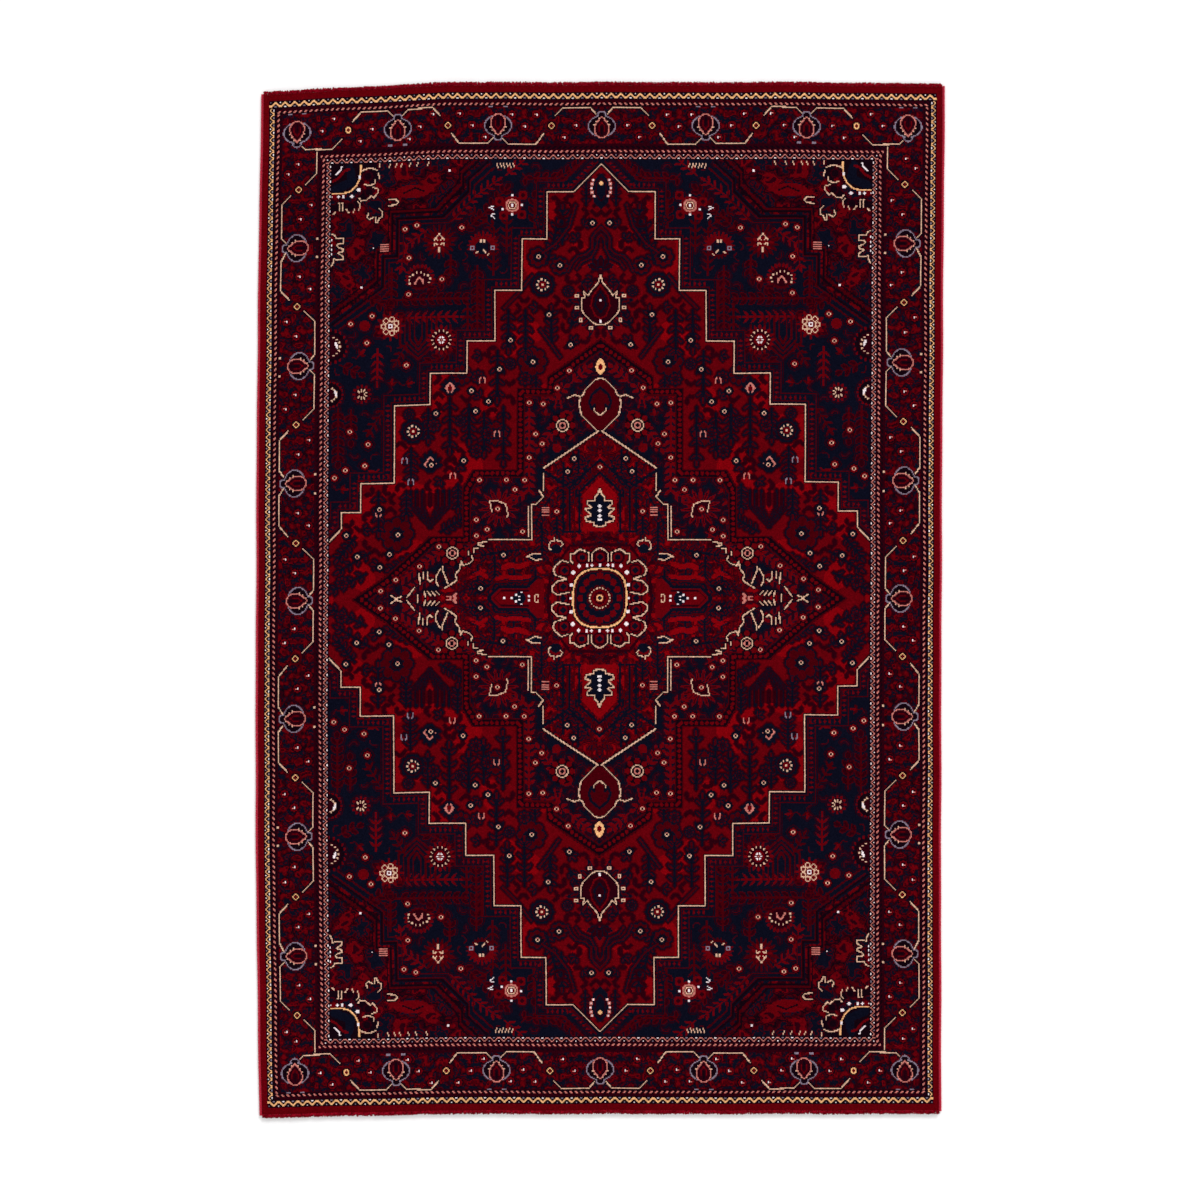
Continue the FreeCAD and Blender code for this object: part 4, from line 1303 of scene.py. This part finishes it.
# The whole rug from its quarter, foot row first. No two tufts are alike: each has its own shade and height.
rng = np.random.default_rng(19)
whole = np.vstack([paper[::-1], paper])
whole = np.hstack([whole[:, ::-1], whole])
strengths = np.exp(rng.normal(0, 0.13, whole.shape))
lines_x, lines_y = np.meshgrid(np.arange(-COLUMNS, COLUMNS + 1) * TUFT_X, np.arange(-ROWS, ROWS + 1) * TUFT_Y)
inner = np.pad(np.ones((2 * ROWS - 1, 2 * COLUMNS - 1)), 1)
lines_x = lines_x + rng.normal(0, 0.00025, lines_x.shape) * inner
lines_y = lines_y + rng.normal(0, 0.00025, lines_y.shape) * inner
lines_z = PILE_TOP + rng.uniform(-0.0006, 0.0, lines_x.shape)
tuft_tops = laid(np.stack([lines_x, lines_y, lines_z], -1))
LINE = 2 * COLUMNS + 1  # corners in one row of squares


def pile_block(name, area, node):
    """A closed block of pile over some squares of the whole rug: cut tops, sides and foot."""
    rows, columns = np.nonzero(area)
    corner = rows * LINE + columns
    tops = np.stack([corner, corner + 1, corner + LINE + 1, corner + LINE], 1)
    ringed = np.pad(area, 1)
    sides = []
    for row, column, ends in ((-1, 0, (0, 1)), (0, 1, (1, 2)), (1, 0, (2, 3)), (0, -1, (3, 0))):
        open_side = ~ringed[rows + 1 + row, columns + 1 + column]
        sides.append(np.column_stack([tops[open_side][:, ends], np.nonzero(open_side)[0]]))
    sides = np.vstack(sides)
    rim = np.unique(sides[:, :2])
    used = np.unique(tops)
    rim_top = np.searchsorted(used, rim)
    rim_low = len(used) + np.arange(len(rim))
    low = tuft_tops[rim].copy()
    low[:, 2] = WEAVE_TOP
    start, stop = np.searchsorted(rim, sides[:, 0]), np.searchsorted(rim, sides[:, 1])
    walls = np.stack([rim_top[stop], rim_top[start], rim_low[start], rim_low[stop]], 1)
    flat = [(float(x), float(y)) for x, y in low[:, :2]]
    cuts = geometry.delaunay_2d_cdt(flat, list(zip(start.tolist(), stop.tolist())), [], 0, 1e-9)[2]
    cuts = np.array([f for f in cuts if len(f) == 3])
    grid = np.stack(np.unravel_index(rim, (2 * ROWS + 1, LINE)), 1)[cuts].mean(1)
    floor = np.clip(grid.astype(int), 0, np.array(area.shape) - 1)
    bottom = rim_low[cuts[area[floor[:, 0], floor[:, 1]]]][:, ::-1]
    quads = np.vstack([np.searchsorted(used, tops), walls])
    loops = np.concatenate([quads.ravel(), bottom.ravel()])
    sizes = np.concatenate([np.full(len(quads), 4), np.full(len(bottom), 3)])
    made = new_piece(name, [], [], pile_yarn)
    mesh = made.data
    mesh.vertices.add(len(used) + len(low))
    mesh.vertices.foreach_set("co", np.vstack([tuft_tops[used], low]).ravel())
    mesh.loops.add(len(loops))
    mesh.loops.foreach_set("vertex_index", loops.astype(np.int32))
    mesh.polygons.add(len(sizes))
    mesh.polygons.foreach_set("loop_start", np.concatenate([[0], np.cumsum(sizes)[:-1]]).astype(np.int32))
    mesh.update(calc_edges=True)
    squares = np.concatenate([np.arange(len(tops)), sides[:, 2], np.zeros(len(bottom), int)])
    for label, values in (("yarn", whole), ("strength", strengths)):
        on_faces = values[rows, columns][squares].astype(np.float32)
        mesh.attributes.new(label, "FLOAT", "FACE").data.foreach_set("value", on_faces)
    on_loom = np.concatenate([used, rim])[loops]
    spots = np.stack([on_loom % LINE, on_loom // LINE], 1).astype(np.float32)
    mesh.uv_layers.new(name="tufts").data.foreach_set("uv", spots.ravel())
    mesh.shade_flat()
    mesh.validate()
    stands_for(made, node)


def on_rug(quarter):
    """An area of the quarter in all four quarters."""
    half = np.vstack([quarter[::-1], quarter])
    return np.hstack([half[:, ::-1], half])


head_half = np.zeros(whole.shape, bool)
head_half[ROWS:] = True
right_half = np.zeros(whole.shape, bool)
right_half[:, COLUMNS:] = True
ENDS = ("head", head_half), ("foot", ~head_half)

for band in BAND_EDGES:
    area = on_rug(band_area(band))
    if band == "main_border":
        for end, half in ENDS:
            pile_block(f"pile_{band}_{end}", area & half, f"pile_{band}")
    else:
        pile_block(f"pile_{band}_tufts", area, f"pile_{band}")
for name, area in (("cartouche", cartouche_area), ("cross", cross_area), ("centre_rosette", rosette_area)):
    pile_block(f"pile_{name}_tufts", on_rug(area), f"pile_{name}")
for end, half in ENDS:
    pile_block(f"pile_medallion_{end}", on_rug(medallion_area) & half, "pile_medallion")
    for side, other in (("left", ~right_half), ("right", right_half)):
        for name, area in (("spandrel", spandrel_area), ("field", field_area)):
            node = f"pile_{name}_{end}_{side}"
            pile_block(f"{node}_tufts", on_rug(area) & half & other, node)

# === END TUFTS =========================================================================================
# At the head and the foot the last row of pile has nothing beside it, so its long tufts lean out over the
# fold and splay into an uneven, fuzzy edge.

END_ROWS = ((0.0050, 0.0035), (0.0075, 0.0020), (0.0098, 0.0003))  # each row's height, and how far out it is
edge_tones = (0.12, 0.0009, 0.0045), (0.30, 0.0050, 0.0160), 0.32, 0.7
edge_fibre = {"Fineness": 1400.0, "Contrast": 0.25}
edge_yarn, *_ = yarn_material("edge_yarn", 0.95, 0.0, edge_fibre, {"Scale": 130.0, "Detail": 2.0},
                              edge_tones, (0.0005, 0.5))

tuft_sizes = {"Length": 0.010, "Radius": 0.0020, "Lean": 1.3, "Splay": 0.5, "Seed": 1}
tuft_tree, inlet, outlet = new_growth("splayed_tufts", tuft_sizes)
sizes = {"Radius Bottom": maths(tuft_tree, "MULTIPLY", inlet["Radius"], 0.75), "Radius Top": inlet["Radius"]}
sizes = {"Vertices": 6, "Side Segments": 2, "Depth": inlet["Length"], **sizes}
bristle = add(tuft_tree, "GeometryNodeMeshCone", sizes, fill_type="TRIANGLE_FAN")
lows = {0: maths(tuft_tree, "SUBTRACT", inlet["Lean"], 0.30),
        2: maths(tuft_tree, "MULTIPLY", inlet["Splay"], -1.0)}
highs = {0: maths(tuft_tree, "ADD", inlet["Lean"], 0.30), 2: inlet["Splay"]}
turns = [add(tuft_tree, "ShaderNodeCombineXYZ", values) for values in (lows, highs)]
turn = varied(tuft_tree, *turns, inlet["Seed"])
size = varied(tuft_tree, (0.70, 0.70, 0.50), (1.25, 1.25, 1.45), inlet["Seed"])
gathered(tuft_tree, outlet, planted(tuft_tree, inlet["Points"], bristle, turn, size), edge_yarn)

rng = np.random.default_rng(8)
for end, sign, seed in (("head", 1, 3), ("foot", -1, 5)):
    low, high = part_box(f"end_tufts_{end}")
    root_line = min(abs(low.y), abs(high.y))
    count = 3 * COLUMNS
    points = []
    for level, out in END_ROWS:
        xs = np.linspace(low.x + 0.0015, high.x - 0.0015, count) + rng.normal(0, 0.0006, count)
        ys = sign * (root_line + out + rng.uniform(-0.0008, 0.0012, count))
        zs = level + rng.uniform(-0.0006, 0.0006, count)
        points += list(zip(xs.clip(low.x + 0.001, high.x - 0.001), ys, zs))
    sizes = {"Length": 0.0068, "Radius": 0.0019, "Lean": -1.25 * sign, "Splay": 0.45, "Seed": seed}
    tufts = relaid(grown(f"end_tufts_{end}_wool", tuft_tree, sizes, points))
    stands_for(tufts, f"end_tufts_{end}")

# === SELVEDGE CORDS ====================================================================================
# Two-ply jute cords, laid along each side beside the last warps. They are the core that the serging wraps.

cord_tones = (0.52, 0.43, 0.31), (0.68, 0.60, 0.46)
jute, *_ = yarn_material("cord_jute", 0.9, 0.15, {"Contrast": 0.2}, {"Scale": 60.0}, cord_tones,
                         (0.0004, 0.6))

ply_sizes = {"Length": 2.988, "Cord radius": 0.002, "Turns": 90.0, "Strand": 0.0}
ply_tree, inlet, outlet = new_growth("two_ply_cord", ply_sizes)
run = add(ply_tree, "GeometryNodeCurvePrimitiveLine")
fed(run, {"End": add(ply_tree, "ShaderNodeCombineXYZ", {1: inlet["Length"]})})
fine = add(ply_tree, "GeometryNodeResampleCurve", {"Curve": run, "Count": 1081})
along_cord = add(ply_tree, "GeometryNodeSplineParameter").outputs["Factor"]
started = maths(ply_tree, "ADD", maths(ply_tree, "MULTIPLY", along_cord, inlet["Turns"]), inlet["Strand"])
angle = maths(ply_tree, "MULTIPLY", started, 2 * math.pi)
swing = maths(ply_tree, "MULTIPLY", inlet["Cord radius"], 0.5)
wide, tall = (maths(ply_tree, "MULTIPLY", maths(ply_tree, side, angle), swing) for side in ("COSINE", "SINE"))
offset = add(ply_tree, "ShaderNodeCombineXYZ", {0: wide, 2: tall})
twisted = add(ply_tree, "GeometryNodeSetPosition", {"Geometry": fine, "Offset": offset})
strand = add(ply_tree, "GeometryNodeCurvePrimitiveCircle", {"Resolution": 6, "Radius": swing})
rope = {"Curve": twisted, "Profile Curve": strand, "Fill Caps": True}
gathered(ply_tree, outlet, add(ply_tree, "GeometryNodeCurveToMesh", rope), jute)

for side in ("left", "right"):
    low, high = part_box(f"serging_cord_{side}")
    sizes = {"Length": high.y - low.y, "Cord radius": (high.x - low.x) / 2, "Turns": 90.0}
    points, faces = [], []
    for start in (0.0, 0.5):
        ply = grown(f"serging_cord_{side}_ply", ply_tree, {**sizes, "Strand": start})
        faces += [[i + len(points) for i in f.vertices] for f in ply.data.polygons]
        points += [v.co for v in ply.data.vertices]
        bpy.data.objects.remove(ply)
    points = np.array(points) + [(low.x + high.x) / 2, low.y, (low.z + high.z) / 2]
    cord = new_piece(f"serging_cord_{side}_plies", laid(points), faces, jute, smooth=True)
    stands_for(cord, f"serging_cord_{side}")

# === SERGING ===========================================================================================
# Yarn, wrapped turn by turn over the cord and the outer warps, from head to foot. Each turn lies a little
# askew and takes the light differently, so the edge looks like a fine rope.

SERGING_STEP = 0.0030
SERGING_YARN = 0.0019

serging, tree, shader, place = new_material("overcast_yarn", 0.9, 0.08)
fed(shader, {"Sheen Weight": 0.06, "Sheen Tint": (1.0, 0.55, 0.6, 1)})
fibre = add(tree, "ShaderNodeGroup", {"Fineness": 1600.0, "Contrast": 0.22}, node_tree=fibre_group).outputs
turns = add(tree, "ShaderNodeMapping", {"Vector": place, "Scale": (6.0, 330.0, 6.0)})
lots = add(tree, "ShaderNodeTexNoise", {"Vector": turns, "Scale": 1.0, "Detail": 1.0})
# the yarn is crimson, and its two pale pinkish tones are a painted sheen on it; the noise picks one of them
# turn by turn
tone = toned(tree, lots, (0.38, 0.010, 0.030), (0.64, 0.030, 0.065), 0.3, 0.7)
finish(tree, shader, tone, fibre["Shade"], fibre["Height"], 0.0004, 0.6)

wrap_sizes = {"Width": 0.009, "Height": 0.009, "Yarn radius": 0.0019, "Slant": 0.12, "Seed": 1}
wrap_tree, inlet, outlet = new_growth("serging_wraps", wrap_sizes)
yarn_width = maths(wrap_tree, "MULTIPLY", inlet["Yarn radius"], 1.5)
sizes = {side: maths(wrap_tree, "SUBTRACT", inlet[side], yarn_width) for side in ("Width", "Height")}
ring = add(wrap_tree, "GeometryNodeCurvePrimitiveQuadrilateral", sizes)
bend = {"Curve": ring, "Count": 2, "Radius": maths(wrap_tree, "MULTIPLY", sizes["Width"], 0.38)}
round_ring = add(wrap_tree, "GeometryNodeFilletCurve", bend, mode="POLY")
upright = add(wrap_tree, "GeometryNodeTransform", {"Geometry": round_ring, "Rotation": (math.pi / 2, 0, 0)})
thin = add(wrap_tree, "GeometryNodeCurvePrimitiveCircle", {"Resolution": 6, "Radius": inlet["Yarn radius"]})
flat = add(wrap_tree, "GeometryNodeTransform", {"Geometry": thin, "Scale": (0.72, 1.0, 1.0)})
wrap = add(wrap_tree, "GeometryNodeCurveToMesh", {"Curve": upright, "Profile Curve": flat})
slants = [maths(wrap_tree, "MULTIPLY", inlet["Slant"], part) for part in (0.5, 1.5)]
turn = varied(wrap_tree, *(add(wrap_tree, "ShaderNodeCombineXYZ", {2: slant}) for slant in slants),
              inlet["Seed"])
size = varied(wrap_tree, (0.94, 0.95, 0.95), (1.03, 1.05, 1.0), inlet["Seed"])
gathered(wrap_tree, outlet, planted(wrap_tree, inlet["Points"], wrap, turn, size), serging)

for side, seed in (("left", 2), ("right", 6)):
    low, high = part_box(f"serging_{side}")
    sizes = {"Width": high.x - low.x, "Height": high.z - low.z, "Yarn radius": SERGING_YARN, "Slant": 0.12}
    ys = np.arange(low.y + SERGING_STEP / 2, high.y, SERGING_STEP)
    points = [((low.x + high.x) / 2, y, (low.z + high.z) / 2) for y in ys]
    wraps = relaid(grown(f"serging_{side}_wraps", wrap_tree, {**sizes, "Seed": seed}, points))
    stands_for(wraps, f"serging_{side}")

# === FLOOR, LIGHT AND CAMERA ===========================================================================
# The rug lies on a plain pale floor, under soft light that comes a little more from its head. The camera
# looks straight down on its middle.

floor_paint, tree, shader, place = new_material("floor_paint", 1.0, 0.0)
mottle = add(tree, "ShaderNodeTexNoise", {"Vector": place, "Scale": 3.0})
fed(shader, {"Base Color": toned(tree, mottle, (0.90,) * 3, (0.92,) * 3)})
floor_corners = [(-9, -9, -0.0004), (9, -9, -0.0004), (9, 9, -0.0004), (-9, 9, -0.0004)]
new_piece("floor", floor_corners, [(0, 1, 2, 3)], floor_paint)


def shone(name, kind, place, **settings):
    """A lamp that faces the middle of the rug."""
    light = bpy.data.lights.new(name, kind)
    for key, value in settings.items():
        setattr(light, key, value)
    lamp = bpy.data.objects.new(name, light)
    bpy.context.scene.collection.objects.link(lamp)
    lamp.location = place
    lamp.rotation_euler = (-lamp.location).to_track_quat("-Z", "Y").to_euler()


# a broad lamp overhead, and window light low over the head, whose soft shadow falls past the foot
shone("side_lamp", "AREA", (3.0, -1.5, 6.5), shape="SQUARE", size=3.5, energy=40)
shone("window_light", "SUN", (1.8, 5.5, 4.0), energy=1.7, angle=math.radians(22))

world = bpy.data.worlds.new("room")
bpy.context.scene.world = world
world.use_nodes = True
sky = world.node_tree.nodes["Background"]
sky.inputs["Color"].default_value = (1, 1, 1, 1)
sky.inputs["Strength"].default_value = 0.84

lens = bpy.data.cameras.new("camera")
FRAME_WIDTH = 3.504  # how much the picture holds across, in metres, at the rug's top
lens.lens = 85
lens.sensor_width = 36
lens.clip_end = 60
camera = bpy.data.objects.new("camera", lens)
bpy.context.scene.collection.objects.link(camera)
camera.location = (-0.0015, -0.0044, 0.011 + FRAME_WIDTH * lens.lens / lens.sensor_width)
bpy.context.scene.camera = camera
bpy.context.scene.view_settings.view_transform = "Standard"
bpy.context.scene.view_settings.look = "None"
